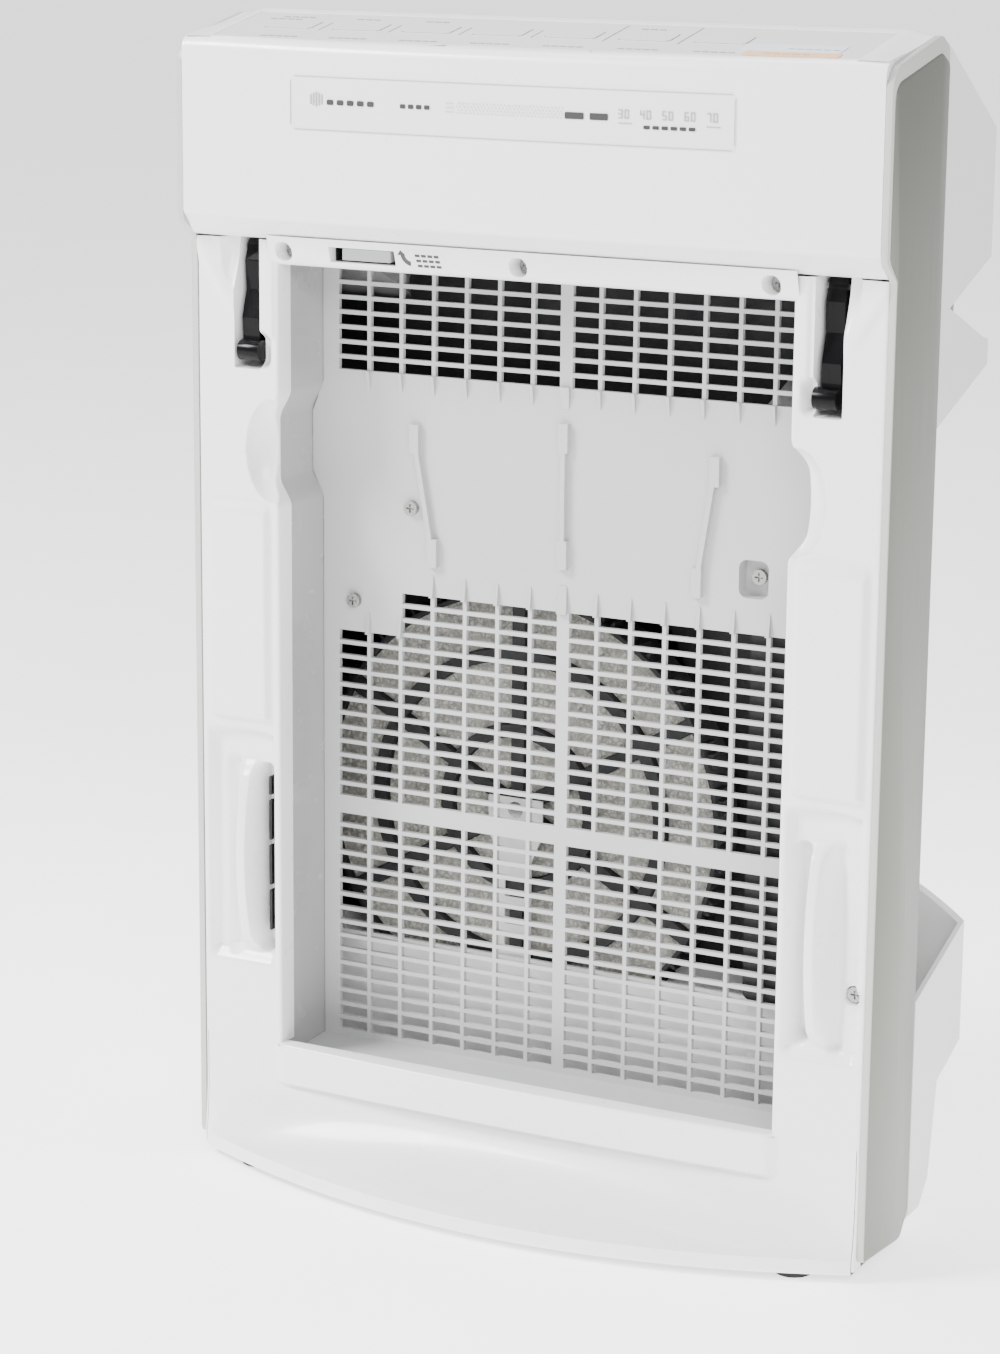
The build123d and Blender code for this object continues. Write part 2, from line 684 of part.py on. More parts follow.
with BuildPart() as rear_casing:
    rear_body(0, REAR_FRONT)
    add(rear_inside.part, mode=Mode.SUBTRACT)
    for side in (-1, 1):
        notch_start = NOTCH_X if side > 0 else -200
        prism_x(NOTCH, (notch_start, notch_start + 200 - NOTCH_X), mode=Mode.SUBTRACT)
    tank_bay(0)
    # way through for the wheel and the tray
    block((BAY_WALL - SKIN - 2, BAY_WALL + 2), (REAR_FRONT + SKIN, BULKHEAD_BACK + 0.4), (0, 395),
          mode=Mode.SUBTRACT)
    with BuildSketch(OUTLET_PLANE):
        with Locations((0, middle(OUTLET_V))):
            RectangleRounded(2 * OUTLET_HALF, length(OUTLET_V), 1)
    extrude(amount=-6, mode=Mode.SUBTRACT)
    rod_y(*GLAND, (140, 180), GLAND_RADIUS, mode=Mode.SUBTRACT)
save(rear_casing, "rear_casing")


# ---------------------------------------------------------------- outlet grille and louver
LOUVER_HALF = 121.0
LOUVER_THICK = 2.2
HINGE_V = 61.5
EAR_X = (119.2, 121.2)


def outlet_block(x, v, w, mode=Mode.ADD):
    """A block in the outlet's own axes: v runs down the slope and w out of it."""
    with BuildSketch(OUTLET_PLANE.offset(w[0])) as flat:
        with Locations((middle(x), middle(v))):
            Rectangle(length(x), length(v))
    extrude(flat.sketch, amount=length(w), mode=mode)


def hinge_rod(x, radius, mode=Mode.ADD):
    centre = OUTLET_PLANE.from_local_coords((middle(x), HINGE_V, -LOUVER_THICK / 2))
    with Locations(centre):
        Cylinder(radius, length(x), rotation=(0, 90, 0), mode=mode)


with BuildPart() as outlet_grille:
    outlet_block((-127, 127), (10, 69), (-7, -3.2))
    outlet_block((-118, 118), (16, 63), (-8, -2), mode=Mode.SUBTRACT)
    for x in range(-108, 109, 12):
        outlet_block((x - 0.9, x + 0.9), (14, 65), (-7, -3.2))
    outlet_block((-118, 118), (38.5, 40.5), (-7, -3.2))
    for side in (-1, 1):
        ear = mirrored(EAR_X, side)
        outlet_block(ear, (HINGE_V - 2.2, HINGE_V + 2.2), (-4, 0))
        hinge_rod((ear[0] - 1, ear[1] + 1), 1.0 + RUN, mode=Mode.SUBTRACT)
save(outlet_grille, "outlet_grille")

with BuildPart() as louver:
    outlet_block((-EAR_X[0] + 0.5, EAR_X[0] - 0.5), (OUTLET_V[0] + 1, HINGE_V), (-LOUVER_THICK, 0))
    outlet_block((-LOUVER_HALF, LOUVER_HALF), (OUTLET_V[0] + 1, HINGE_V - 5), (-LOUVER_THICK, 0))
    hinge_rod((-EAR_X[0] + 0.5, EAR_X[0] - 0.5), LOUVER_THICK / 2)
    hinge_rod((-EAR_X[1], EAR_X[1]), 1.0)
save(louver, "louver")

# ---------------------------------------------------------------- fan
SCROLL_START = 120.0     # angle of the tongue
SCROLL_TIGHT = FAN_RADIUS + 7
SCROLL_WIDE = FAN_RADIUS + 30
DUCT_TOP = 448.0
SCROLL_BACK = 142.0


def scroll_points(grow, top):
    """Outline of the fan housing: a spiral that opens into a straight duct going up."""
    steps = 20
    points = []
    for step in range(steps + 1):
        turn = step / steps
        angle = radians(SCROLL_START + (360 - SCROLL_START) * turn)
        radius = SCROLL_TIGHT + (SCROLL_WIDE - SCROLL_TIGHT) * turn + grow
        points.append((FAN_X + radius * cos(angle), FAN_Z + radius * sin(angle)))
    return [(points[0][0], top)] + points + [(points[-1][0], top)]


with BuildPart() as fan_scroll:
    with BuildSketch(face(BULKHEAD_BACK + 0.1)):
        with BuildLine():
            Polyline(*scroll_points(2.0, DUCT_TOP), close=True)
        make_face()
    extrude(amount=-(SCROLL_BACK + 2 - BULKHEAD_BACK))
    with BuildSketch(face(BULKHEAD_BACK)):
        with BuildLine():
            Polyline(*scroll_points(0, DUCT_TOP + 20), close=True)
        make_face()
    extrude(amount=-(SCROLL_BACK - BULKHEAD_BACK), mode=Mode.SUBTRACT)
    rod_y(FAN_X, FAN_Z, (130, 160), 14, mode=Mode.SUBTRACT)
save(fan_scroll, "fan_scroll")

BLADES = 32
with BuildPart() as fan_impeller:
    rod_y(FAN_X, FAN_Z, (137, 139), FAN_RADIUS)
    rod_y(FAN_X, FAN_Z, (125, 139), 12)
    with BuildSketch(face(104)):
        with Locations((FAN_X, FAN_Z)):
            Circle(FAN_RADIUS)
            Circle(FAN_RADIUS - 6, mode=Mode.SUBTRACT)
    extrude(amount=-3)
    with BuildSketch(face(106)):
        with Locations((FAN_X, FAN_Z)):
            with PolarLocations(FAN_RADIUS - 7, BLADES):
                Rectangle(13, 1.4, rotation=28)
    extrude(amount=-31.5)
    rod_y(FAN_X, FAN_Z, (100, 150), 4 + RUN, mode=Mode.SUBTRACT)
save(fan_impeller, "fan_impeller")

with BuildPart() as fan_motor:
    rod_y(FAN_X, FAN_Z, (SCROLL_BACK + 2.2, 168), 42)
    fillet(fan_motor.edges().filter_by(GeomType.CIRCLE), 4)
    rod_y(FAN_X, FAN_Z, (141, 150), 12)
    rod_y(FAN_X, FAN_Z, (122, 150), 4)
save(fan_motor, "fan_motor")

# ---------------------------------------------------------------- humidifying tray
BIN_RIM = REAR_FRONT + SKIN


def below_rim(gap):
    """Cut away everything above the sloping rim of the bin."""
    prism_x(((0, BIN_FRONT_TOP - gap - BIN_RIM * BIN_SLOPE), (0, 600), (220, 600),
             (220, BIN_FRONT_TOP - gap + (220 - BIN_RIM) * BIN_SLOPE)),
            (-220, 220), mode=Mode.SUBTRACT)


with BuildPart() as bin_inside:
    rear_body(SKIN, BIN_RIM + 3 + SKIN)
    block((-200, BIN_LEFT + SKIN), (0, 220), (0, 600), mode=Mode.SUBTRACT)

with BuildPart() as humidifier_tray:
    rear_body(0, BIN_RIM + 2)
    block((-200, BIN_LEFT), (0, 220), (0, 600), mode=Mode.SUBTRACT)
    below_rim(0)
    add(bin_inside.part, mode=Mode.SUBTRACT)
    # the long basin under the wheel
    block((-150.5, BIN_LEFT + 1), (BIN_RIM + 2, 93.5), (TRAY_FLOOR, TRAY_TOP))
    block((-140, BIN_LEFT + 1), (BIN_RIM + 6, BIN_RIM + 8), (FOOT_Z + SKIN + 1, TRAY_FLOOR + 1))
    block((-148.5, BIN_LEFT + SKIN + 1), (BIN_RIM + 4, 91.5), (TRAY_FLOOR + 2.2, TRAY_TOP + 1),
          mode=Mode.SUBTRACT)
    # seat that the water tank stands on
    block((BIN_LEFT + 1, REAR_HALF - 1), (78, 80), (TRAY_FLOOR + 2, SHELF_LOW + 4))
save(humidifier_tray, "humidifier_tray")

# two posts stand in the basin and hold the ends of the fixed axle
POST_FRONT = (BIN_RIM + 4.1, WHEEL_NEAR - 0.4)
POST_BACK = (WHEEL_FAR + 0.4, 91.4)

with BuildPart() as axle_posts:
    for depth, top_half, foot_half in ((POST_FRONT, 15, 9), (POST_BACK, 9, 9)):
        with BuildSketch(face(depth[0])) as post:
            with BuildLine() as post_edge:
                Polyline(
                    (WHEEL_X - foot_half, TRAY_FLOOR + 2.4), (WHEEL_X + foot_half, TRAY_FLOOR + 2.4),
                    (WHEEL_X + foot_half, WHEEL_Z - 26), (WHEEL_X + top_half, WHEEL_Z - 12),
                    (WHEEL_X + top_half, WHEEL_Z + 6), (WHEEL_X - top_half, WHEEL_Z + 6),
                    (WHEEL_X - top_half, WHEEL_Z - 12), (WHEEL_X - foot_half, WHEEL_Z - 26), close=True,
                )
            make_face(post_edge.edges())
        extrude(post.sketch, amount=-length(depth))
    rod_y(WHEEL_X, WHEEL_Z, (50, 100), AXLE, mode=Mode.SUBTRACT)
    for height in range(40, 150, 14):
        block((WHEEL_X - 5.5, WHEEL_X + 5.5), POST_FRONT, (height, height + 9), mode=Mode.SUBTRACT)
save(axle_posts, "axle_posts")

with BuildPart() as wheel_axle:
    rod_y(WHEEL_X, WHEEL_Z, (POST_FRONT[0], POST_BACK[1]), AXLE)
save(wheel_axle, "wheel_axle")

# ---------------------------------------------------------------- humidifying wheel
RIM = 106.0
ROOT = 108.3
TIP = 111.3
RINGS = ((36.0, 42.5), (74.0, 80.5))
HUB = 11.0
SPOKE = 7.0
SPOKES = 6


with BuildPart() as wheel_frame:
    with BuildSketch(face(WHEEL_NEAR)):
        with Locations((WHEEL_X, WHEEL_Z)):
            Circle(ROOT)
            Circle(RIM, mode=Mode.SUBTRACT)
    extrude(amount=-(WHEEL_FAR - WHEEL_NEAR))
    for inner_radius, outer_radius in RINGS + ((AXLE + RUN, HUB),):
        with BuildSketch(face(WHEEL_NEAR)):
            with Locations((WHEEL_X, WHEEL_Z)):
                Circle(outer_radius)
                Circle(inner_radius, mode=Mode.SUBTRACT)
        extrude(amount=-(WHEEL_FAR - WHEEL_NEAR))
    with BuildSketch(face(WHEEL_NEAR)):
        with Locations((WHEEL_X, WHEEL_Z)):
            with PolarLocations((HUB + RIM) / 2 - 0.5, SPOKES, start_angle=30):
                Rectangle(RIM - HUB + 1.5, SPOKE)
    extrude(amount=-(WHEEL_FAR - WHEEL_NEAR))
    with BuildSketch(face(WHEEL_NEAR + 2)) as gear_band:
        with Locations((WHEEL_X, WHEEL_Z)):
            with PolarLocations(ROOT + (TIP - ROOT) / 2 - 0.1, WHEEL_TEETH):
                Trapezoid(2.9, TIP - ROOT + 0.2, 73, rotation=-90)
    extrude(amount=-9)
save(wheel_frame, "wheel_frame")

with BuildPart() as wheel_mesh:
    for inner_radius, outer_radius in ((HUB, RINGS[0][0]), (RINGS[0][1], RINGS[1][0]), (RINGS[1][1], RIM)):
        with BuildSketch(face(WHEEL_NEAR + 4)):
            with Locations((WHEEL_X, WHEEL_Z)):
                Circle(outer_radius - GAP)
                Circle(inner_radius + GAP, mode=Mode.SUBTRACT)
                with PolarLocations(RIM / 2, SPOKES, start_angle=30):
                    Rectangle(RIM + 10, SPOKE + 2 * GAP, mode=Mode.SUBTRACT)
        extrude(amount=-(WHEEL_FAR - WHEEL_NEAR - 8))
save(wheel_mesh, "wheel_mesh")

PINION_X = WHEEL_X - WHEEL_PITCH - PINION_PITCH
with BuildPart() as drive_pinion:
    with BuildSketch(face(WHEEL_NEAR + 2)):
        with Locations((PINION_X, WHEEL_Z)):
            Circle(8.9)
            with PolarLocations(8.9 + 1.6, PINION_TEETH, start_angle=15):
                Trapezoid(2.7, 3.6, 72, rotation=-90)
            Circle(2 + RUN, mode=Mode.SUBTRACT)
    extrude(amount=-9)
    with BuildSketch(face(WHEEL_NEAR + 11)):
        with Locations((PINION_X, WHEEL_Z)):
            Circle(6)
            Circle(2 + RUN, mode=Mode.SUBTRACT)
    extrude(amount=-14)
save(drive_pinion, "drive_pinion")

with BuildPart() as gear_motor:
    rod_y(PINION_X, WHEEL_Z, (BULKHEAD_BACK + 1, 118), 12)
    rod_y(PINION_X, WHEEL_Z, (WHEEL_NEAR + 1, 110), 2)
    block((PINION_X - 11, PINION_X + 11), (BULKHEAD_BACK + 1, 104), (WHEEL_Z - 20, WHEEL_Z + 12))
save(gear_motor, "gear_motor")

# ---------------------------------------------------------------- arms that push the front panel
ARM_BLADE = (144.5, 153.5)
ARM_BARREL = (142.2, 153.5)
ARM_BARREL_DEPTH = 2.5
ARM_BARREL_RADIUS = 5.0
ARM_LOW = 404.5
ARM_HUB = 4.8            # the rounded hub turns clear of the head


def panel_arm(side):
    """A black lever: hub at the top, waisted blade, and a barrel at the lower end facing inwards."""
    with BuildPart() as arm:
        blade = mirrored(ARM_BLADE, side)
        prism_x(((8.6, 459), (17.4, 459), (20, 450), (17, 436), (12, 424), (13, 412), (11, ARM_LOW),
                 (3, ARM_LOW), (4, 416), (3, 425), (7, 438), (6, 452)), blade)
        fillet(arm.edges().filter_by(Axis.X), 1.2)
        rod_x(ARM_PIVOT_Y, ARM_PIVOT_Z, blade, ARM_HUB)
        rod_x(ARM_BARREL_DEPTH, ARM_LOW + ARM_BARREL_RADIUS, mirrored(ARM_BARREL, side), ARM_BARREL_RADIUS)
        rod_x(ARM_PIVOT_Y, ARM_PIVOT_Z, (-HALF, HALF), PIN + RUN, mode=Mode.SUBTRACT)
    return arm


save(panel_arm(-1), "panel_arm_left")
save(panel_arm(1), "panel_arm_right")

with BuildPart() as arm_pivots:
    for side in (-1, 1):
        rod_x(ARM_PIVOT_Y, ARM_PIVOT_Z, mirrored(ARM_SLOT, side), PIN)
save(arm_pivots, "arm_pivots")

with BuildPart() as cord_gland:
    rod_y(*GLAND, (150, 164), GLAND_RADIUS - 0.1)
    rod_y(*GLAND, (140, 170), 3.2, mode=Mode.SUBTRACT)
save(cord_gland, "cord_gland")
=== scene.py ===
import json
from math import cos, pi, radians, sin, sqrt

import bmesh
import bpy
from mathutils import Matrix, Vector


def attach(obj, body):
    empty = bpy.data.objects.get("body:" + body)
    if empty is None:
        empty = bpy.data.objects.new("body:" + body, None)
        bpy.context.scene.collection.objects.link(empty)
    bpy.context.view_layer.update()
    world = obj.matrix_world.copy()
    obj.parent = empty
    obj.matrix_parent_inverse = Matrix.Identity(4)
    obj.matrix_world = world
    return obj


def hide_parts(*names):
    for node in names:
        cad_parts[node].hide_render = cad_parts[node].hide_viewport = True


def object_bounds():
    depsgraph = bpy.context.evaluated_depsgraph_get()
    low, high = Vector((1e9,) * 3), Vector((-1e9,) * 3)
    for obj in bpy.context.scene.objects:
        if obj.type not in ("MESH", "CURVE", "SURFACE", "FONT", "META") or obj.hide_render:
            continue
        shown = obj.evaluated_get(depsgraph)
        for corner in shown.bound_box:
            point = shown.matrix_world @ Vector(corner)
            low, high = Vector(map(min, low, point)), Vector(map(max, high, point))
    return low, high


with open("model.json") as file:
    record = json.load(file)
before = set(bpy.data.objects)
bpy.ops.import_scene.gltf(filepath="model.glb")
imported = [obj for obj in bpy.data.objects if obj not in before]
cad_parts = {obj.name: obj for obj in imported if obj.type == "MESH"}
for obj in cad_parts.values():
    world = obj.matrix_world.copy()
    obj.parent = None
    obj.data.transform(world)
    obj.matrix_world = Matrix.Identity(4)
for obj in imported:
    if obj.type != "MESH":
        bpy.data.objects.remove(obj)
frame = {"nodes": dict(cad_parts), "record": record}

# Sizes below are millimetres in the machine's own terms: x to the right of its middle, depth back
# from the face of the front frame, height above the floor. place() turns them into the row frame.
MM = 0.001
LOW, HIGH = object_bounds()
APRON_BOW = 44.0
FACE_Y = LOW.y / MM + APRON_BOW      # the front frame's face in the row frame, millimetres
HALF = HIGH.x / MM
INNER = HALF - 3.7                   # the white mouldings end at the side panels


def place(x, depth, height):
    """A point given in the machine's own terms, in the row frame."""
    return Vector((x * MM, (depth + FACE_Y) * MM, height * MM))


def mix(a, b, t):
    """The value that lies t of the way from a to b."""
    return a + (b - a) * t


def smooth(low, high, value):
    """0 below low, 1 above high, and a soft slope between them."""
    t = min(1.0, max(0.0, (value - low) / (high - low)))
    return t * t * (3 - 2 * t)


def spread(start, end, step):
    """Evenly spaced values from start to end, about step apart."""
    count = max(1, round(abs(end - start) / step))
    return [mix(start, end, i / count) for i in range(count + 1)]


# ------------------------------------------------------------------ materials
class Nodes:
    """A short way to write a node tree: add nodes, set their sockets and join them."""

    def __init__(self, name):
        self.material = bpy.data.materials.new(name)
        self.material.use_nodes = True
        self.tree = self.material.node_tree
        self.shader = self.tree.nodes["Principled BSDF"]
        self.where = self.add("ShaderNodeTexCoord").outputs["Object"]

    def add(self, kind, **settings):
        """A new node with its settings."""
        node = self.tree.nodes.new(kind)
        for key, value in settings.items():
            setattr(node, key, value)
        return node

    def join(self, source, target):
        self.tree.links.new(source, target)

    def stretch(self, scale):
        mapping = self.add("ShaderNodeMapping")
        mapping.inputs["Scale"].default_value = scale
        self.join(self.where, mapping.inputs["Vector"])
        return mapping.outputs["Vector"]

    def noise(self, scale, detail=3.0, stretch=None, roughness=0.5):
        node = self.add("ShaderNodeTexNoise")
        node.inputs["Scale"].default_value = scale
        node.inputs["Detail"].default_value = detail
        node.inputs["Roughness"].default_value = roughness
        self.join(self.stretch(stretch) if stretch else self.where, node.inputs["Vector"])
        return node.outputs["Fac"]

    def ramp(self, source, low, high, out_low, out_high):
        """The source's span from low to high, spread over another span."""
        node = self.add("ShaderNodeMapRange")
        for key, value in (("From Min", low), ("From Max", high), ("To Min", out_low), ("To Max", out_high)):
            node.inputs[key].default_value = value
        self.join(source, node.inputs["Value"])
        return node.outputs["Result"]

    def blend(self, factor, first, second):
        """Two colours mixed by a factor; each of them is a value or a socket."""
        node = self.add("ShaderNodeMix", data_type="RGBA")
        for key, value in ((0, factor), (6, first), (7, second)):
            if isinstance(value, bpy.types.NodeSocket):
                self.join(value, node.inputs[key])
            else:
                node.inputs[key].default_value = value if key == 0 else (*value, 1.0)
        return node.outputs[2]

    def bump(self, height, strength, distance, below=None):
        node = self.add("ShaderNodeBump")
        node.inputs["Strength"].default_value = strength
        node.inputs["Distance"].default_value = distance
        self.join(height, node.inputs["Height"])
        if below is not None:
            self.join(below, node.inputs["Normal"])
        return node.outputs["Normal"]

    def finish(self, colour=None, roughness=None, normal=None, **values):
        """Join or set the shader's inputs, and hand back the material."""
        for key, source in (("Base Color", colour), ("Roughness", roughness), ("Normal", normal)):
            if isinstance(source, bpy.types.NodeSocket):
                self.join(source, self.shader.inputs[key])
            elif source is not None:
                self.shader.inputs[key].default_value = source
        for key, value in values.items():
            self.shader.inputs[key.replace("_", " ")].default_value = value
        return self.material


GRAIN_SIZE = 1400.0


def plastic(name, colour, roughness, grain=0.06, drift=0.03, coat=0.0, speck=0.02):
    """Moulded plastic: slow drift of tone, a fine moulded grain, and a little wear in the gloss."""
    n = Nodes(name)
    slow = n.noise(9.0, 2.0)
    fine = n.noise(GRAIN_SIZE, 2.0)
    middling = n.noise(60.0, 4.0)
    dark = tuple(c * (1 - drift) for c in colour)
    light = tuple(min(1.0, c * (1 + drift * 0.6)) for c in colour)
    tone = n.blend(n.ramp(slow, 0.3, 0.7, 0.0, 1.0), dark, light)
    specked = n.blend(n.ramp(fine, 0.35, 0.65, 0.0, speck), tone, (0.0, 0.0, 0.0))
    rough = n.ramp(middling, 0.3, 0.7, roughness * 0.85, roughness * 1.2)
    normal = n.bump(fine, grain, 0.0002, n.bump(slow, 0.05, 0.001))
    return n.finish(specked, rough, normal, Coat_Weight=coat, Coat_Roughness=0.08)


def metal(name, colour, roughness, along, metallic=1.0, depth=0.12):
    """Metal or metallic paint with a fine brushed grain; along stretches the grain."""
    n = Nodes(name)
    brushed = n.noise(1.0, 4.0, stretch=along)
    slow = n.noise(7.0, 2.0)
    tone = n.blend(n.ramp(brushed, 0.3, 0.7, 0.0, 1.0), tuple(c * 0.9 for c in colour), colour)
    tone = n.blend(n.ramp(slow, 0.3, 0.7, 0.0, 0.08), tone, (0.5, 0.5, 0.5))
    rough = n.ramp(brushed, 0.3, 0.7, roughness * 0.85, roughness * 1.2)
    return n.finish(tone, rough, n.bump(brushed, depth, 0.0002), Metallic=metallic)


WHITE = plastic("gloss_white", (0.88, 0.88, 0.872), 0.3, grain=0.03, coat=0.25, drift=0.015, speck=0.01)
CASE_WHITE = plastic("satin_white", (0.70, 0.695, 0.69), 0.42, grain=0.12)
# a lighter copy of the satin white: painted light for the tray, which sits in shade behind the grille
TRAY_WHITE_PAINTED_LIGHT = plastic("tray_white_painted_light", (0.84, 0.84, 0.83), 0.38, grain=0.08)
BAY_GREY = plastic("bay_grey", (0.36, 0.365, 0.36), 0.24, grain=0.04, drift=0.02)
GRILLE_GREY = plastic("grille_grey", (0.455, 0.46, 0.465), 0.42, grain=0.15, drift=0.04)
POST_WHITE = plastic("post_white", (0.78, 0.78, 0.76), 0.4, grain=0.1)
BLACK = plastic("gloss_black", (0.003, 0.003, 0.0035), 0.22, grain=0.05, drift=0.3, speck=0.0)
BLACK.node_tree.nodes["Principled BSDF"].inputs["Specular IOR Level"].default_value = 0.12
DARK = plastic("matt_black", (0.012, 0.012, 0.013), 0.6, grain=0.3, drift=0.3)
SWITCH_GREY = plastic("switch_grey", (0.42, 0.43, 0.44), 0.38, grain=0.1)
RUBBER = plastic("rubber_black", (0.02, 0.02, 0.02), 0.75, grain=0.4, drift=0.2)
FILM = plastic("film_white", (0.84, 0.84, 0.838), 0.2, grain=0.02, coat=0.6)
PAPER = plastic("label_paper", (0.86, 0.86, 0.86), 0.55, grain=0.15)
SILVER = metal("silver_paint", (0.182, 0.184, 0.162), 0.36, (2600.0, 2600.0, 14.0), metallic=0.85)
ZINC = metal("zinc_screw", (0.30, 0.31, 0.29), 0.28, (900.0, 900.0, 900.0))
MOTOR = metal("motor_plate", (0.42, 0.42, 0.42), 0.4, (500.0, 60.0, 500.0))


def wick_material():
    """Coarse grey-beige wick: mottled fibres, with painted shade darkening the gaps between them."""
    n = Nodes("wick_fibre")
    cells = n.add("ShaderNodeTexVoronoi", feature="DISTANCE_TO_EDGE")
    cells.inputs["Scale"].default_value = 330.0
    n.join(n.where, cells.inputs["Vector"])
    mottled = n.noise(420.0, 6.0, roughness=0.7)
    patches = n.noise(60.0, 3.0)
    tone = n.blend(n.ramp(mottled, 0.35, 0.65, 0.0, 1.0), (0.15, 0.148, 0.135), (0.58, 0.57, 0.53))
    # painted shade: the tone darkens towards the cells' edges, where the gaps between the fibres lie in
    # shadow
    tone = n.blend(n.ramp(cells.outputs["Distance"], 0.0, 0.22, 0.75, 0.0), tone, (0.16, 0.155, 0.14))
    tone = n.blend(n.ramp(patches, 0.35, 0.65, 0.0, 0.3), tone, (0.5, 0.48, 0.42))
    rough = n.ramp(mottled, 0.3, 0.7, 0.7, 0.95)
    normal = n.bump(cells.outputs["Distance"], 0.7, 0.0015, n.bump(mottled, 0.5, 0.0008))
    return n.finish(tone, rough, normal)


def board_material():
    """Green circuit board with paler tracks."""
    n = Nodes("circuit_board")
    tracks = n.add("ShaderNodeTexBrick")
    tracks.inputs["Scale"].default_value = 120.0
    tracks.inputs["Color1"].default_value = (0.01, 0.10, 0.04, 1)
    tracks.inputs["Color2"].default_value = (0.015, 0.13, 0.05, 1)
    tracks.inputs["Mortar"].default_value = (0.05, 0.22, 0.09, 1)
    n.join(n.where, tracks.inputs["Vector"])
    return n.finish(tracks.outputs["Color"], n.ramp(n.noise(300.0), 0.3, 0.7, 0.3, 0.5))


WICK = wick_material()
BOARD = board_material()
INK_GREY = plastic("ink_grey", (0.36, 0.36, 0.36), 0.45, grain=0.02)
INK_PALE = plastic("ink_pale", (0.62, 0.62, 0.62), 0.45, grain=0.02)
INK_DARK = plastic("ink_dark", (0.03, 0.03, 0.03), 0.4, grain=0.02)
STICKER = plastic("sticker_orange", (0.80, 0.50, 0.30), 0.5, grain=0.08)
STICKER_PALE = plastic("sticker_pale", (0.66, 0.70, 0.76), 0.5, grain=0.08)
SATIN = plastic("rim_satin", (0.46, 0.46, 0.44), 0.36, grain=0.05)

SLOT_MATERIALS = {
    "white_gloss": WHITE, "white_matte": CASE_WHITE, "silver": SILVER, "window": FILM, "overlay": FILM,
    "keys": FILM, "board": BOARD, "switch_grey": SWITCH_GREY, "label_white": PAPER, "dark_plastic": DARK,
    "black_rubber": RUBBER, "steel": ZINC, "motor_steel": MOTOR, "grille_grey": GRILLE_GREY,
    "post_white": POST_WHITE, "wheel_dark": DARK, "wheel_mesh": WICK, "black_gloss": BLACK,
}
NODE_MATERIALS = {"humidifier_tray": TRAY_WHITE_PAINTED_LIGHT}      # nodes that differ from the rest of their slot: the tray takes a lighter copy of the satin white, painted light for where it sits in shade behind the grille
ROUNDED = {                                           # widths of softened edges, millimetres
    "humidifier_tray": 0.8, "filter_grille": 0.25, "panel_arm_left": 0.5, "panel_arm_right": 0.5,
    "louver": 0.4, "outlet_grille": 0.3, "axle_posts": 0.4, "panel_switch": 0.5, "base_plate": 0.8,
    "fan_motor": 0.6, "wheel_frame": 0.3,
}
WELD_GAP = 0.00002                                    # metres, as JOIN_GAP
JOIN_GAP = 0.000004
SHARP_ANGLE = 30


def dress_cad_nodes():
    """Each CAD node takes its slot's material, and the visible ones get softened edges."""
    for entry in frame["record"]["subparts"]:
        node = frame["nodes"][entry["node"]]
        node.data.materials.clear()
        slot_material = SLOT_MATERIALS[entry["material_slot"]]
        node.data.materials.append(NODE_MATERIALS.get(entry["node"], slot_material))
        if entry["node"] in ROUNDED:
            weld = node.modifiers.new("weld", "WELD")
            weld.merge_threshold = WELD_GAP
            bevel = node.modifiers.new("bevel", "BEVEL")
            bevel.width = ROUNDED[entry["node"]] * MM
            bevel.segments = 3
            bevel.limit_method = "ANGLE"
            bevel.angle_limit = radians(SHARP_ANGLE)
            bevel.use_clamp_overlap = True
            bevel.harden_normals = False


dress_cad_nodes()


# ------------------------------------------------------------------ mesh helpers
def new_piece(name, build, material, body, smooth_angle=40.0, replaces=()):
    """Make one mesh piece: build() fills a bmesh in row-frame metres."""
    mesh = bpy.data.meshes.new(name)
    shape = bmesh.new()
    build(shape)
    bmesh.ops.remove_doubles(shape, verts=shape.verts, dist=JOIN_GAP)
    bmesh.ops.recalc_face_normals(shape, faces=shape.faces)
    shape.to_mesh(mesh)
    shape.free()
    piece = bpy.data.objects.new(name, mesh)
    bpy.context.scene.collection.objects.link(piece)
    mesh.materials.append(material)
    if smooth_angle:
        for polygon in mesh.polygons:
            polygon.use_smooth = True
        mesh.set_sharp_from_angle(angle=radians(smooth_angle))
    if replaces:
        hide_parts(*replaces)
    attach(piece, body)
    return piece


def grid(shape, rows, closed=False):
    """Faces between rows of equally many points; closed joins each row's end to its start."""
    made = [[shape.verts.new(point) for point in row] for row in rows]
    for lower, upper in zip(made, made[1:]):
        count = len(lower)
        for i in range(count if closed else count - 1):
            j = (i + 1) % count
            shape.faces.new((lower[i], lower[j], upper[j], upper[i]))
    return made


def slab(shape, outline, low, high, put):
    """A closed plate from an outline of (a, b) points between two levels; put(a, b, level) places it."""
    bottom = [shape.verts.new(put(a, b, low)) for a, b in outline]
    top = [shape.verts.new(put(a, b, high)) for a, b in outline]
    count = len(outline)
    for i in range(count):
        j = (i + 1) % count
        shape.faces.new((bottom[i], bottom[j], top[j], top[i]))
    shape.faces.new(bottom[::-1])
    shape.faces.new(top)


def round_rectangle(centre, size, radius, steps=5):
    """Outline of a rectangle with rounded corners, anticlockwise."""
    points = []
    for corner, (sx, sy) in enumerate(((1, 1), (-1, 1), (-1, -1), (1, -1))):
        cx = centre[0] + sx * (size[0] / 2 - radius)
        cy = centre[1] + sy * (size[1] / 2 - radius)
        for i in range(steps + 1):
            angle = pi / 2 * (corner + i / steps)
            points.append((cx + radius * cos(angle), cy + radius * sin(angle)))
    return points


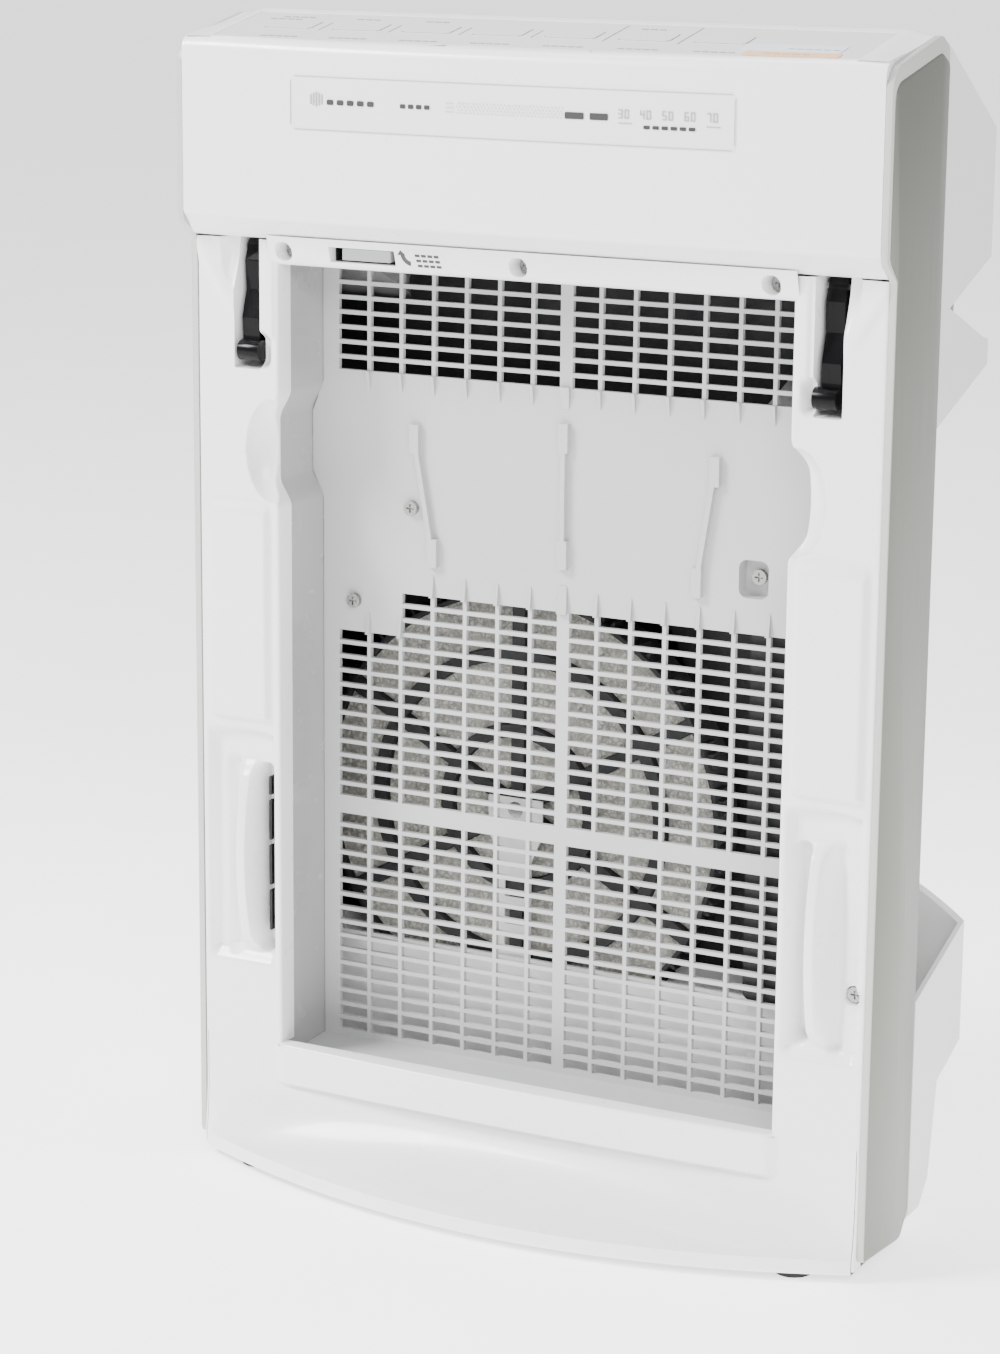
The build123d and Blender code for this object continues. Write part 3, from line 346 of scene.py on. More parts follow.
# ------------------------------------------------------------------ front frame and apron
BAY_HALF = 132.0
BAY_BULGE = 6.0
BULGE_BELOW, BULGE_ABOVE = (334, 348), (376, 391)
BAY_ROOF = 452.2
LIP_TOP = 65.0
APRON_LOW = 4.0
APRON_FOOT = 12.0                      # the apron stands upright below this height
GROOVE = 43.0                          # height of the groove between lip and apron
FRAME_TOP = 463.0
RAIL_START = 139.5
EDGE = 1.4                             # radius of the moulding's edges
WHITE_EDGE = 13.0                      # the bay's walls are grey beyond this depth
WALL_DEPTHS = (45.0, 36.0, 24.0, 12.0)
LIP_BACK = 5.0                         # where the lip's top meets the bay's walls
BAY_FOOT = 55.0
RETURN_DEPTH = 8.0                     # the outer edge turns back this far
LEDGE_SHARES = (0.12, 0.24, 0.36, 0.48, 0.6, 0.72, 0.86)
QUARTER = [pi / 2 * step / 4 for step in range(5)]


def bay_edge(height):
    """Half width of the filter opening: it bulges beside the upper plate."""
    return BAY_HALF + BAY_BULGE * plateau(height, BULGE_BELOW, BULGE_ABOVE)


def plateau(value, rise, fall):
    """1 between two slopes, each given by its start and end, and 0 beyond them."""
    return smooth(*rise, value) * (1 - smooth(*fall, value))


def arched(value, middle, half, rise):
    """Height of a flat arch that reaches zero half either side of its middle, and is negative beyond."""
    return rise * (1 - ((value - middle) / half) ** 2)


def raised(slope, amount):
    """The slope moved up by an amount."""
    return (slope[0] + amount, slope[1] + amount)


def pocket(x, z, centre, size, corner, wall):
    """1 inside a rounded rectangle, 0 outside, with a sloped wall of the given width."""
    dx = abs(x - centre[0]) - (size[0] / 2 - corner)
    dz = abs(z - centre[1]) - (size[1] / 2 - corner)
    outside = sqrt(max(dx, 0) ** 2 + max(dz, 0) ** 2) + min(max(dx, dz), 0) - corner
    return 1 - smooth(-wall, wall, outside)


# The right rail; the left is its mirror image. A slope is written as its start and end, an arch as
# its middle, half width and rise.
PAD_RISE = 2.6
PAD_X, PAD_Z = ((136.5, 139.5), (169, 173)), ((228.2, 230.4), (328.5, 337.5))
PAD_ARCH = (155, 18, 1.8)
HOLLOW_DEPTH = 4.6
HOLLOW_X, HOLLOW_Z = ((134.5, 139.0), (169.5, 173.5)), ((103.0, 110.0), (219.0, 222.0))
HOLLOW_ARCH = (153, 20, 2.4)
BAR_RISE = 4.0
BAR_X, BAR_Z = ((145.4, 148.6), (152.5, 159.0)), ((110, 119), (199, 208))
BAR_ARCH = (159, 49, 8.0)
POCKETS = (                            # depth, centre, size, corner radius, slope of the wall
    (9.5, (142.6, 158), (8.8, 94), 4.2, 1.9),          # finger groove inside the grip's bar
    (3.6, (160.2, 158), (6.0, 98), 2.8, 2.6),          # soft valley on the bar's outer side
    (30.0, (149.0, 434.5), (13.2, 66.0), 0.8, 0.5),    # well of the arm
    (5.5, (141.0, 410.0), (7.0, 15.0), 3.0, 2.5),      # pocket of the arm's barrel
)
DIMPLES = (                            # depth, centre, half size, power of the fall
    (11.0, (134.5, 362), (15.5, 25), 0.7),             # scoop at the bulge of the opening
    (7.0, (157.5, 466), (6.5, 28), 1.2),               # funnel beside the arm's upper end
)
CREASE_RISE, CREASE_START, CREASE_LEAN = 1.6, (157, 430), 0.62
CREASE_ACROSS, CREASE_Z = ((-9, 0), (0, 6)), (422, 445)
STEP_RISE, STEP_X, STEP_Z = 1.3, ((133.5, 134.5), (139.0, 140.2)), (415.4, 417.4)
RAIL_FADE = (66, 76)                   # heights over which the rail's shapes begin


def rail_relief(x, z):
    """Depth of a rail's face at (x, z): pad, hollow, grip, pockets, dimples, crease and step."""
    pad_z = plateau(z, PAD_Z[0], raised(PAD_Z[1], max(0.0, arched(x, *PAD_ARCH))))
    depth = -PAD_RISE * plateau(x, *PAD_X) * pad_z
    hollow_z = plateau(z, HOLLOW_Z[0], raised(HOLLOW_Z[1], arched(x, *HOLLOW_ARCH)))
    depth += HOLLOW_DEPTH * plateau(x, *HOLLOW_X) * hollow_z
    depth -= plateau(x, *BAR_X) * (BAR_RISE * plateau(z, *BAR_Z) + max(0.0, arched(z, *BAR_ARCH)))
    for sunk, centre, size, corner, wall in POCKETS:
        depth += sunk * pocket(x, z, centre, size, corner, wall)
    for sunk, centre, half, power in DIMPLES:
        inside = 1 - ((x - centre[0]) / half[0]) ** 2 - ((z - centre[1]) / half[1]) ** 2
        depth += sunk * max(0.0, inside) ** power
    crease = (x - CREASE_START[0]) - (z - CREASE_START[1]) * CREASE_LEAN
    depth -= CREASE_RISE * plateau(crease, *CREASE_ACROSS) * smooth(*CREASE_Z, z)
    return depth - STEP_RISE * plateau(x, *STEP_X) * smooth(*STEP_Z, z)


SCREW_X, SCREW_Z = 169, 137
WELL_DEPTH, WELL_WALL = 3.5, (4.0, 4.7)
RING_RISE, RING_SLOPES = 0.7, ((4.2, 4.8), (5.4, 6.2))


def screw_seat(x, z):
    """The counterbore of the rail screw and the ring around it, on the right rail only."""
    away = sqrt((x - SCREW_X) ** 2 + (z - SCREW_Z) ** 2)
    return WELL_DEPTH * (1 - smooth(*WELL_WALL, away)) - RING_RISE * plateau(away, *RING_SLOPES)


def apron_share(z):
    """How much of the apron's bow has grown at a height: a hollow sweep down to the foot."""
    t = min(1.0, max(0.0, (z - APRON_FOOT) / (GROOVE - APRON_FOOT)))
    ellipse = 1 - sqrt(max(0.0, 1 - (1 - t) ** 2))
    return mix(ellipse, (1 - t) ** 1.6, 0.55)


LIP_HALF, LIP_ENDS, LIP_BOW = 132.5, 2.2, 4.3
LIP_FOOT = (GROOVE + 0.6, GROOVE + 2.4)
GROOVE_DEPTH, GROOVE_HALF = 1.3, 131
GROOVE_DROP, GROOVE_SAG = 1.2, 0.8


def lower_relief(x, z):
    """Depth of the face below the opening: the bowed lip, the groove under it and the apron."""
    across = (x / BAY_HALF) ** 2
    lip = smooth(-1.2, 1.2, LIP_HALF - abs(x)) * smooth(*LIP_FOOT, z)
    depth = -(LIP_ENDS + LIP_BOW * (1 - across)) * lip
    # the groove rises a little towards its ends
    line = GROOVE - GROOVE_DROP + GROOVE_SAG * across
    depth += GROOVE_DEPTH * (1 - smooth(0.2, 1.3, abs(z - line))) * smooth(0, 3, GROOVE_HALF - abs(x))
    return depth - (APRON_BOW - 0.4) * (1 - (x / HALF) ** 2) * apron_share(z)


def face_depth(x, z):
    """Depth of the moulding's face anywhere on the front."""
    rail = rail_relief(abs(x), z) * smooth(*RAIL_FADE, z)
    seat = screw_seat(x, z) if x > 0 and z > 100 else 0.0
    return rail + seat + lower_relief(x, z)


def rail_columns():
    """Positions across the face of a rail, closer together where the relief is steep."""
    return (
        spread(RAIL_START, 141.2, 0.43) + spread(141.6, 143.4, 0.3) + spread(144.0, 154.4, 0.65)
        + spread(154.7, 156.4, 0.28) + spread(157.0, 176.0 - EDGE, 0.75)
    )


def rail_rows():
    """Heights of the sections through a rail, closer together where the relief is steep."""
    return (
        spread(LIP_TOP - 0.6, 103, 1.9) + spread(104, 126, 0.8) + spread(127, 147, 0.5)
        + spread(148, 226, 1.2) + spread(227, 232, 0.4) + spread(234, 326, 3.0) + spread(328, 340, 0.6)
        + spread(341, 386, 1.0) + spread(387, 400, 1.0) + spread(400.6, 403.4, 0.28)
        + spread(404.4, 440, 1.0) + spread(441, FRAME_TOP, 1.0)
    )


def ledge_columns(inner):
    """Positions between the bay's edge and the rail's face."""
    return [mix(inner, RAIL_START, share) for share in LEDGE_SHARES]


def outer_edge(depth):
    """The rounded outer edge of the moulding as (x, depth) points."""
    return [(INNER - EDGE + EDGE * sin(angle), depth + EDGE * (1 - cos(angle))) for angle in QUARTER[1:]]


def rail_row(side, z):
    """One section through a rail: bay wall, rounded inner edge, face, rounded outer edge, return."""
    inner = bay_edge(z)
    near = face_depth(side * (inner + EDGE), z)
    points = [(inner, max(depth, near + EDGE + 0.1)) for depth in WALL_DEPTHS]
    points += [(inner + EDGE * (1 - cos(angle)), near + EDGE * (1 - sin(angle))) for angle in QUARTER]
    for x in ledge_columns(inner + EDGE) + rail_columns():
        points.append((x, face_depth(side * x, z)))
    end = face_depth(side * (INNER - EDGE), z)
    points += outer_edge(end)
    points.append((INNER, max(RETURN_DEPTH, end + RETURN_DEPTH)))
    return [place(side * x, depth, z) for x, depth in points]


def build_lower_face(shape):
    """The face below the opening runs the whole width and turns under at the floor."""
    middle = spread(-RAIL_START, RAIL_START, 2.5)[1:-1]
    columns = [-x for x in reversed(rail_columns())] + middle + rail_columns()
    turn, radius = APRON_LOW + 2, 1.5
    rows = []
    for back in (14.0, 5.0):
        rows.append([place(x, face_depth(x, APRON_LOW) + back, APRON_LOW) for x in columns])
    for angle in QUARTER[1:4]:
        height = APRON_LOW + radius * (1 - cos(angle))
        rows.append([place(x, face_depth(x, turn) + radius * (1 - sin(angle)), height) for x in columns])
    for z in spread(turn, 40, 1.4) + spread(40.5, 47, 0.4) + spread(48, LIP_TOP - EDGE, 2.0):
        rows.append([place(x, face_depth(x, z), z) for x in columns])
    grid(shape, rows)


def build_joins(shape):
    """Join the lower face to the rails, and close its outer edges."""
    z_join = LIP_TOP - EDGE
    inner = bay_edge(LIP_TOP) + EDGE
    face_start = len(WALL_DEPTHS) + len(QUARTER) - 1
    first = rail_rows()[0]
    for side in (-1, 1):
        columns = [inner] + ledge_columns(inner) + rail_columns()
        bottom = [place(side * x, face_depth(side * x, z_join), z_join) for x in columns]
        grid(shape, [bottom, rail_row(side, first)[face_start:face_start + len(bottom)]])
        outer = []
        for z in spread(APRON_LOW + 2, z_join, 3.0) + [first]:
            depth = face_depth(side * (INNER - EDGE), z)
            points = [(INNER - EDGE, depth)] + outer_edge(depth) + [(INNER, depth + RETURN_DEPTH)]
            outer.append([place(side * x, back, z) for x, back in points])
        grid(shape, outer)


def build_lip(shape):
    """Roll the lip's top edge back into the opening."""
    z_join = LIP_TOP - EDGE
    across = spread(-BAY_HALF - EDGE, BAY_HALF + EDGE, 2.5)
    rows = []
    for angle in QUARTER:
        height = z_join + EDGE * sin(angle)
        rows.append([place(x, face_depth(x, z_join) + EDGE * (1 - cos(angle)), height) for x in across])
    rows.append([place(x, LIP_BACK, LIP_TOP) for x in across])
    grid(shape, rows)


def build_bay_walls(shape):
    """Walls of the opening below the lip's level, and its roof."""
    grid(shape, [[place(x, depth, LIP_TOP) for x in (-BAY_HALF, BAY_HALF)] for depth in (4.9, LIP_BACK)])
    depths = (LIP_BACK, WALL_DEPTHS[0])
    for side in (-1, 1):
        heights = (BAY_FOOT, rail_rows()[0])
        grid(shape, [[place(side * BAY_HALF, depth, z) for depth in depths] for z in heights])
    across = spread(-BAY_HALF - 1, BAY_HALF + 1, 20)
    grid(shape, [[place(x, depth, BAY_ROOF) for x in across] for depth in (1.2, WALL_DEPTHS[0])])


def build_moulding(shape):
    """The whole front moulding: both rails, the lower face, the joins, the lip and the walls."""
    for side in (-1, 1):
        grid(shape, [rail_row(side, z) for z in rail_rows()])
    build_lower_face(shape)
    build_joins(shape)
    build_lip(shape)
    build_bay_walls(shape)


def colour_bay_walls(moulding):
    """The bay's walls are grey behind their white front edge."""
    moulding.data.materials.append(BAY_GREY)
    for polygon in moulding.data.polygons:
        across, depth, height = (value / MM for value in polygon.center)
        deep = depth - FACE_Y > WHITE_EDGE
        on_wall = abs(across) < bay_edge(height) + 0.6 and deep and height > LIP_TOP - 12
        polygon.material_index = 1 if on_wall else 0


colour_bay_walls(new_piece("front_moulding", build_moulding, WHITE, "casing",
                           replaces=("front_frame", "base_apron", "grip_bars")))


# ------------------------------------------------------------------ head
HEAD_FOOT, HEAD_LOW, HEAD_TOP = 463.6, 473.5, 555.6
HEAD_CREST, HEAD_SIDE, HEAD_BACK = -18.0, -12.0, 55.2
APEX_DEPTH, APEX_TOP = 46.0, 568.7
LOWER_ROUND, UPPER_ROUND = 4.0, 7.0
END_DROP = 2.4
TOP_SLOPE = (APEX_TOP - HEAD_TOP) / (APEX_DEPTH - HEAD_CREST)
OUTLET_SLOPE = 0.6166
OVERLAY_HALF = 162.2
OVERLAY_DEPTH = (-9.7, 37.7)
SEAT = 7.0                             # the overlay's seat is this deep, to leave room for the keys
SEAM = 0.05                            # the seat's edge falls within this width


def head_face(x):
    """Depth of the bowed front of the head at x."""
    bow = HEAD_SIDE - HEAD_CREST
    radius = (INNER ** 2 + bow ** 2) / (2 * bow)
    return HEAD_CREST + radius - sqrt(radius ** 2 - x ** 2)


def head_top(x, depth):
    """Height of the head's top at a depth; it drops a little towards the ends."""
    climb = HEAD_TOP + (min(depth, APEX_DEPTH) - HEAD_CREST) * TOP_SLOPE
    fall = max(0.0, depth - APEX_DEPTH) * OUTLET_SLOPE
    ends = END_DROP * smooth(OVERLAY_HALF, INNER, abs(x)) * smooth(-16, 30, depth)
    return climb - fall - ends


def arc_points(centre, radius, start, end, steps):
    """Points of an arc between two angles in degrees."""
    angles = [radians(mix(start, end, i / steps)) for i in range(steps + 1)]
    return [(centre[0] + radius * cos(angle), centre[1] + radius * sin(angle)) for angle in angles]


def head_section(x):
    """One section through the head as (depth, height) points: underside, front, top, back."""
    near = head_face(x)
    points = [(0.5, HEAD_FOOT), (-2.0, HEAD_FOOT + 0.6), (-5.0, HEAD_FOOT + 3.0)]
    points += arc_points((near + LOWER_ROUND, HEAD_LOW + 3.0), LOWER_ROUND, 232, 180, 5)
    points += [(near, z) for z in spread(HEAD_LOW + 6, HEAD_TOP - 9, 8.0)]
    round_centre = (near + UPPER_ROUND, head_top(x, near + UPPER_ROUND) - UPPER_ROUND - 0.2)
    points += arc_points(round_centre, UPPER_ROUND, 176, 102, 9)
    front, back = OVERLAY_DEPTH
    depths = [round_centre[0] + 1.0, front, front + SEAM] + spread(front + 4, back - 4, 5.0)
    depths += [back - SEAM, back, 41.0, 43.5, 45.2, APEX_DEPTH + 0.6, 48.0, 51.0, HEAD_BACK]
    for depth in depths:
        sunk = front < depth < back and abs(x) < OVERLAY_HALF
        rounding = 0.35 * max(0.0, 1 - abs(depth - APEX_DEPTH) / 2.5)
        points.append((depth, head_top(x, depth) - rounding - (SEAT if sunk else 0.0)))
    points += [(HEAD_BACK, z) for z in (540.0, 500.0, HEAD_FOOT)]
    return points


def head_columns():
    """Positions of the head's sections, closer together beyond the overlay."""
    half = spread(0, OVERLAY_HALF - SEAM, 9.0) + [OVERLAY_HALF] + spread(OVERLAY_HALF + 2, INNER, 1.6)
    return [-x for x in reversed(half[1:])] + half


def build_head(shape):
    """The head is swept through its sections and closed at both ends."""
    sections = [[place(x, depth, z) for depth, z in head_section(x)] for x in head_columns()]
    made = grid(shape, sections, closed=True)
    for end in (made[0], made[-1]):
        shape.faces.new(end)


new_piece("head_shell", build_head, WHITE, "casing", smooth_angle=35,
          replaces=("control_head",))


# ------------------------------------------------------------------ side panels
PANEL_OUTLINE = (
    (0, 10), (46, 6), (55.5, 17), (55.5, 560.6), (46, 566.3), (-5, 555.6), (-12, 548), (-12, 471.5), (0, 463),
)
PLATE_OUTLINE = (
    (0.6, 10.6), (46, 6.8), (54.9, 17.4), (54.9, 553.4), (45, 558.6), (-4.6, 548.4), (-9.2, 543.5),
    (-9.2, 472.4), (0.6, 463.6),
)


def rounded_outline(points, radius, steps=4):
    """The polygon with each corner replaced by a short curve."""
    result = []
    count = len(points)
    for i in range(count):
        corner = Vector(points[i])
        before = Vector(points[i - 1]) - corner
        after = Vector(points[(i + 1) % count]) - corner
        cut = min(radius, before.length / 2.2, after.length / 2.2)
        start = corner + before.normalized() * cut
        end = corner + after.normalized() * cut
        for step in range(steps + 1):
            t = step / steps
            result.append(tuple((1 - t) ** 2 * start + 2 * t * (1 - t) * corner + t * t * end))
    return result


def towards(value, inset):
    """How far a value moves towards zero: its own size, but at most inset."""
    return min(abs(value), inset) * (1 if value > 0 else -1)


def build_side(side, outline, near, far, edge):
    """A plate that stands upright along the side, with a rounded outer edge."""
    def build(shape):
        count = len(outline)
        centre = Vector((sum(p[0] for p in outline) / count, sum(p[1] for p in outline) / count))
        rings = []
        for inset, x in ((0, near), (0, far - edge), (edge * 0.3, far - edge * 0.3), (edge, far)):
            ring = []
            for depth, z in outline:
                away = Vector((depth, z)) - centre
                ring.append(place(side * x, depth - towards(away.x, inset), z - towards(away.y, inset)))
            rings.append(ring)
        made = grid(shape, rings, closed=True)
        shape.faces.new(made[0])
        shape.faces.new(made[-1])
    return build


for side, word in ((-1, "left"), (1, "right")):
    rim = build_side(side, rounded_outline(PANEL_OUTLINE, 3.0), INNER + 0.2, HALF - 0.35, 0.6)
    plate = build_side(side, rounded_outline(PLATE_OUTLINE, 2.5), HALF - 1.2, HALF - 0.02, 0.3)
    new_piece("side_rim_" + word, rim, SATIN, "casing", replaces=("side_panel_" + word,))
    new_piece("side_plate_" + word, plate, SILVER, "casing")


# ------------------------------------------------------------------ band under the head
BAND_HALF = 135.0
BAND_FOOT, BAND_HEAD = 451.9, 465.6
BAND_LEAN = 0.33
BOSS_X, BOSS_Z = (-127.0, -3.0, 122.0), 458.3
BOSS_DEPTH, BOSS_WALL = 9.2, (3.7, 4.6)
SWITCH_X, SWITCH_Z = (-102.0, -67.0), (455.2, 461.6)
SWITCH_DEPTH = 23.0


def band_depth(z):
    """Depth of the band's face, which leans out towards the head."""
    return -0.6 - BAND_LEAN * (z - 452.0)


def build_band(shape):
    """The strip over the top rail: three screw wells, a window for the switch, a rounded lower edge."""
    columns = sorted(set(
        spread(-BAND_HALF, BAND_HALF, 2.0) + [x + d for x in BOSS_X for d in spread(-7, 7, 0.5)]
        + [SWITCH_X[0] - 0.1, SWITCH_X[0], SWITCH_X[1], SWITCH_X[1] + 0.1]
    ))
    rows = [[place(x, 3.0, BAND_FOOT) for x in columns]]
    for z in [BAND_FOOT] + spread(BAND_FOOT + 0.5, BAND_HEAD, 0.4):
        row = []
        for x in columns:
            depth = band_depth(z) + 0.8 * (1 - smooth(BAND_FOOT, BAND_FOOT + 1.3, z))
            for boss in BOSS_X:
                away = sqrt((x - boss) ** 2 + (z - BOSS_Z) ** 2)
                depth += (BOSS_DEPTH - depth) * (1 - smooth(*BOSS_WALL, away))
            if SWITCH_X[0] <= x <= SWITCH_X[1] and SWITCH_Z[0] <= z <= SWITCH_Z[1]:
                depth = SWITCH_DEPTH
            row.append(place(x, depth, z))
        rows.append(row)
    grid(shape, rows)


new_piece("head_band", build_band, WHITE, "casing", smooth_angle=35)


# ------------------------------------------------------------------ marks on display, keys and label
KEY_PITCH = 36.8
FILM_LIFT = 0.55                       # the display film stands this far out of the head
INK = 0.06                             # thickness of printed marks
KEY_INK = 0.08


def on_display(x, z, lift):
    """A point lifted off the display's film."""
    return place(x, head_face(x) - FILM_LIFT - lift, z)


def on_top(x, depth, lift):
    """A point lifted off the head's sloped top."""
    return place(x, depth - lift * TOP_SLOPE, head_top(0, depth) + 0.02 + lift)


def on_label(x, z, lift):
    """A point lifted off the band, where the switch's label is."""
    return place(x, band_depth(z) - 0.05 - lift, z)


def bar_mark(shape, x0, x1, z0, z1, put, radius=0.3, lift=INK):
    """One printed bar with rounded corners."""
    size = (x1 - x0, z1 - z0)
    corner = min(radius, size[0] / 2.1, size[1] / 2.1)
    slab(shape, round_rectangle(((x0 + x1) / 2, (z0 + z1) / 2), size, corner, 3), -0.1, lift, put)


def dashes(shape, count, start, pitch, width, heights, put, radius=0.3, lift=INK):
    """A row of equal bars."""
    for k in range(count):
        x = start + pitch * k
        bar_mark(shape, x, x + width, *heights, put, radius=radius, lift=lift)


# seven-segment shapes: top, upper left, upper right, middle, lower left, lower right, bottom
SEGMENTS = {
    "0": "1110111", "3": "1011011", "4": "0111010", "5": "1101011", "6": "1101111", "7": "1010010",
}


def digit(shape, text, x, z, size, put):
    """Plain numbers made of bars; x is the left edge, z the foot."""
    width, height, thick = size * 0.52, size, size * 0.13
    half = height / 2
    lines = (
        (0, width, height - thick, height), (0, thick, half, height), (width - thick, width, half, height),
        (0, width, half - thick / 2, half + thick / 2), (0, thick, 0, half),
        (width - thick, width, 0, half), (0, width, 0, thick),
    )
    for character in text:
        for lit, (x0, x1, z0, z1) in zip(SEGMENTS[character], lines):
            if lit == "1":
                bar_mark(shape, x + x0, x + x1, z + z0, z + z1, put, radius=thick / 3)
        x += width * 1.45


def build_display_dark(shape):
    """The bolder bars, in four groups."""
    for x0, x1 in ((27.6, 36.9), (39.8, 48.7)):
        bar_mark(shape, x0, x1, 527.6, 530.6, on_display, radius=0.5)
    dashes(shape, 5, -95, 5.4, 3.6, (528.6, 531.0), on_display, radius=0.7)
    dashes(shape, 4, -56, 4.2, 2.8, (528.6, 530.6), on_display, radius=0.5)
    dashes(shape, 6, 65.8, 4.3, 3.1, (524.6, 526.2), on_display, radius=0.4)


WINDOW_X, WINDOW_Z = (-114.9, 108.8), (516.9, 541.25)
LINE = 0.25


def build_display_grey(shape):
    """Numbers, the lines under two of them, a round mark and the window's thin outline."""
    for k, text in enumerate(("30", "40", "50", "60", "70")):
        digit(shape, text, 53.6 + 10.5 * k, 528.8, 4.0, on_display)
    bar_mark(shape, 53.6, 60.2, 526.6, 527.0, on_display)
    bar_mark(shape, 95.4, 102.2, 526.6, 527.0, on_display)
    for k in range(5):
        x, short = -104 + 1.5 * k, abs(k - 2)
        bar_mark(shape, x, x + 0.7, 527.6 + 0.5 * short, 534.4 - 0.6 * short, on_display)
    left, right = WINDOW_X[0] + 2.3, WINDOW_X[1] - 1.2
    for x0, x1, z0, z1 in (
        (left, right, WINDOW_Z[1] - LINE, WINDOW_Z[1]), (left, right, WINDOW_Z[0], WINDOW_Z[0] + LINE),
        (WINDOW_X[0], WINDOW_X[0] + LINE, 519, 539), (WINDOW_X[1] - LINE, WINDOW_X[1], 519, 539),
    ):
        steps = max(1, round((x1 - x0) / 20))
        for i in range(steps):
            start, end = mix(x0, x1, i / steps), mix(x0, x1, (i + 1) / steps)
            bar_mark(shape, start, end, z0, z1, on_display, radius=0.02)


def build_display_pale(shape):
    """A field of dots in four shifted rows, and three short lines beside it."""
    for row in range(4):
        foot = 527.6 + 1.4 * row
        dashes(shape, 30, -27 + 0.9 * (row % 2), 1.8, 0.8, (foot, foot + 0.8), on_display, radius=0.35)
    for row in range(3):
        bar_mark(shape, -32.5, -28.3, 528.0 + 1.9 * row, 528.5 + 1.9 * row, on_display)


def build_key_captions(shape):
    """Short rows of plain marks in front of each key, and behind some of them."""
    for key in range(7):
        dashes(shape, 5, -137.5 + KEY_PITCH * key, 4.1, 3.1, (-5.6, -4.4), on_top, lift=KEY_INK)
    for key in (1, 2, 5):
        dashes(shape, 3, -141.5 + KEY_PITCH * key, 4.4, 3.3, (28.0, 29.2), on_top, lift=KEY_INK)
    for x, depth in ((-150.0, 24.6), (-145.0, 28.6)):
        dashes(shape, 4, x, 4.6, 3.4, (depth, depth + 1.2), on_top, lift=KEY_INK)


def build_key_lines(shape):
    """Thin dividers between the keys: two long ones and a short one for each gap."""
    for x in (33.4, 70.2):
        bar_mark(shape, x, x + 0.35, 6, 34, on_top, radius=0.1, lift=0.07)
    dashes(shape, 6, -113.8, KEY_PITCH, 0.3, (8, 21), on_top, radius=0.1, lift=0.07)


def build_sticker(shape):
    bar_mark(shape, 107, 152, -8.6, -1.0, on_top, radius=1.0, lift=0.14)


def build_sticker_pale(shape):
    bar_mark(shape, 103, 150, -0.9, 11.0, on_top, radius=1.0, lift=0.12)


def build_sticker_marks(shape):
    dashes(shape, 6, 124, 4.2, 3.3, (3.4, 4.6), on_top, lift=0.2)
    dashes(shape, 5, 116, 4.6, 3.6, (-5.2, -4.0), on_top, lift=0.2)


def build_label(shape):
    bar_mark(shape, -66.0, -40.0, 453.0, 463.6, on_label, radius=0.8, lift=0.05)


ARROW_CENTRE = (-58.0, 461.0)


def build_label_marks(shape):
    """A bold curved arrow and three rows of plain marks."""
    bow = arc_points(ARROW_CENTRE, 5.6, 185, 262, 8) + arc_points(ARROW_CENTRE, 3.4, 262, 185, 8)
    slab(shape, bow, -0.05, 0.12, on_label)
    slab(shape, [(-65.2, 460.4), (-63.3, 462.9), (-60.9, 460.6)], -0.05, 0.13, on_label)
    for row in range(3):
        foot = 460.0 - 2.4 * row
        dashes(shape, 4, -56.0 + 0.4 * row, 3.3, 2.6, (foot, foot + 1.3), on_label, lift=0.12)


for name, build, material, slot in (
    ("display_dark_marks", build_display_dark, INK_DARK, "black_rubber"),
    ("display_grey_marks", build_display_grey, INK_GREY, "switch_grey"),
    ("display_pale_marks", build_display_pale, INK_PALE, "switch_grey"),
    ("key_captions", build_key_captions, INK_GREY, "switch_grey"),
    ("key_lines", build_key_lines, INK_GREY, "switch_grey"),
    ("top_sticker", build_sticker, STICKER, "label_white"),
    ("top_sticker_pale", build_sticker_pale, STICKER_PALE, "label_white"),
    ("top_sticker_marks", build_sticker_marks, INK_GREY, "switch_grey"),
    ("label_marks", build_label_marks, INK_DARK, "black_rubber"),
):
    new_piece(name, build, material, "casing", smooth_angle=0)
new_piece("switch_label", build_label, PAPER, "casing", smooth_angle=0,
          replaces=("notice_label",))


# ------------------------------------------------------------------ details of the grille and the grips
BAR_PITCH = 17.7
LOWER_FIELD_TOP, UPPER_FIELD_LOW = 291.0, 396.6
CORNER_X, CORNER_Z = -86.0, 269.0
GRILLE_FACE = 42.0


def wedge(shape, x, z0, z1, half, rise):
    """A foot that lies on the plate: full height at z0, down to almost nothing at z1."""
    low, narrow = 0.15, half * 0.7
    corners = [(-half, z0, 0.0), (half, z0, 0.0), (half, z0, rise), (-half, z0, rise),
               (-narrow, z1, 0.0), (narrow, z1, 0.0), (narrow, z1, low), (-narrow, z1, low)]
    v = [shape.verts.new(place(x + dx, GRILLE_FACE + 0.05 - out, z)) for dx, z, out in corners]
    for a, b, c, d in ((0, 1, 2, 3), (4, 5, 6, 7), (0, 1, 5, 4), (1, 2, 6, 5), (2, 3, 7, 6), (3, 0, 4, 7)):
        shape.faces.new((v[a], v[b], v[c], v[d]))


def build_bar_feet(shape):
    """The upright bars end in short tapered feet that overlap the plate."""
    for number in [n for n in range(-6, 7) if n]:
        x = BAR_PITCH * number
        low = CORNER_Z if x < CORNER_X else LOWER_FIELD_TOP
        wedge(shape, x, low - 1.2, low + 9.5, 1.0, 2.2)
        wedge(shape, x, UPPER_FIELD_LOW + 1.2, UPPER_FIELD_LOW - 8.0, 1.0, 2.2)
    wedge(shape, 0, LOWER_FIELD_TOP - 1.5, LOWER_FIELD_TOP + 12, 2.6, 2.4)
    wedge(shape, 0, UPPER_FIELD_LOW + 1.5, UPPER_FIELD_LOW - 9, 2.6, 2.4)


def upright(x, z, depth):
    """place() for a plate that is drawn from the front."""
    return place(x, depth, z)


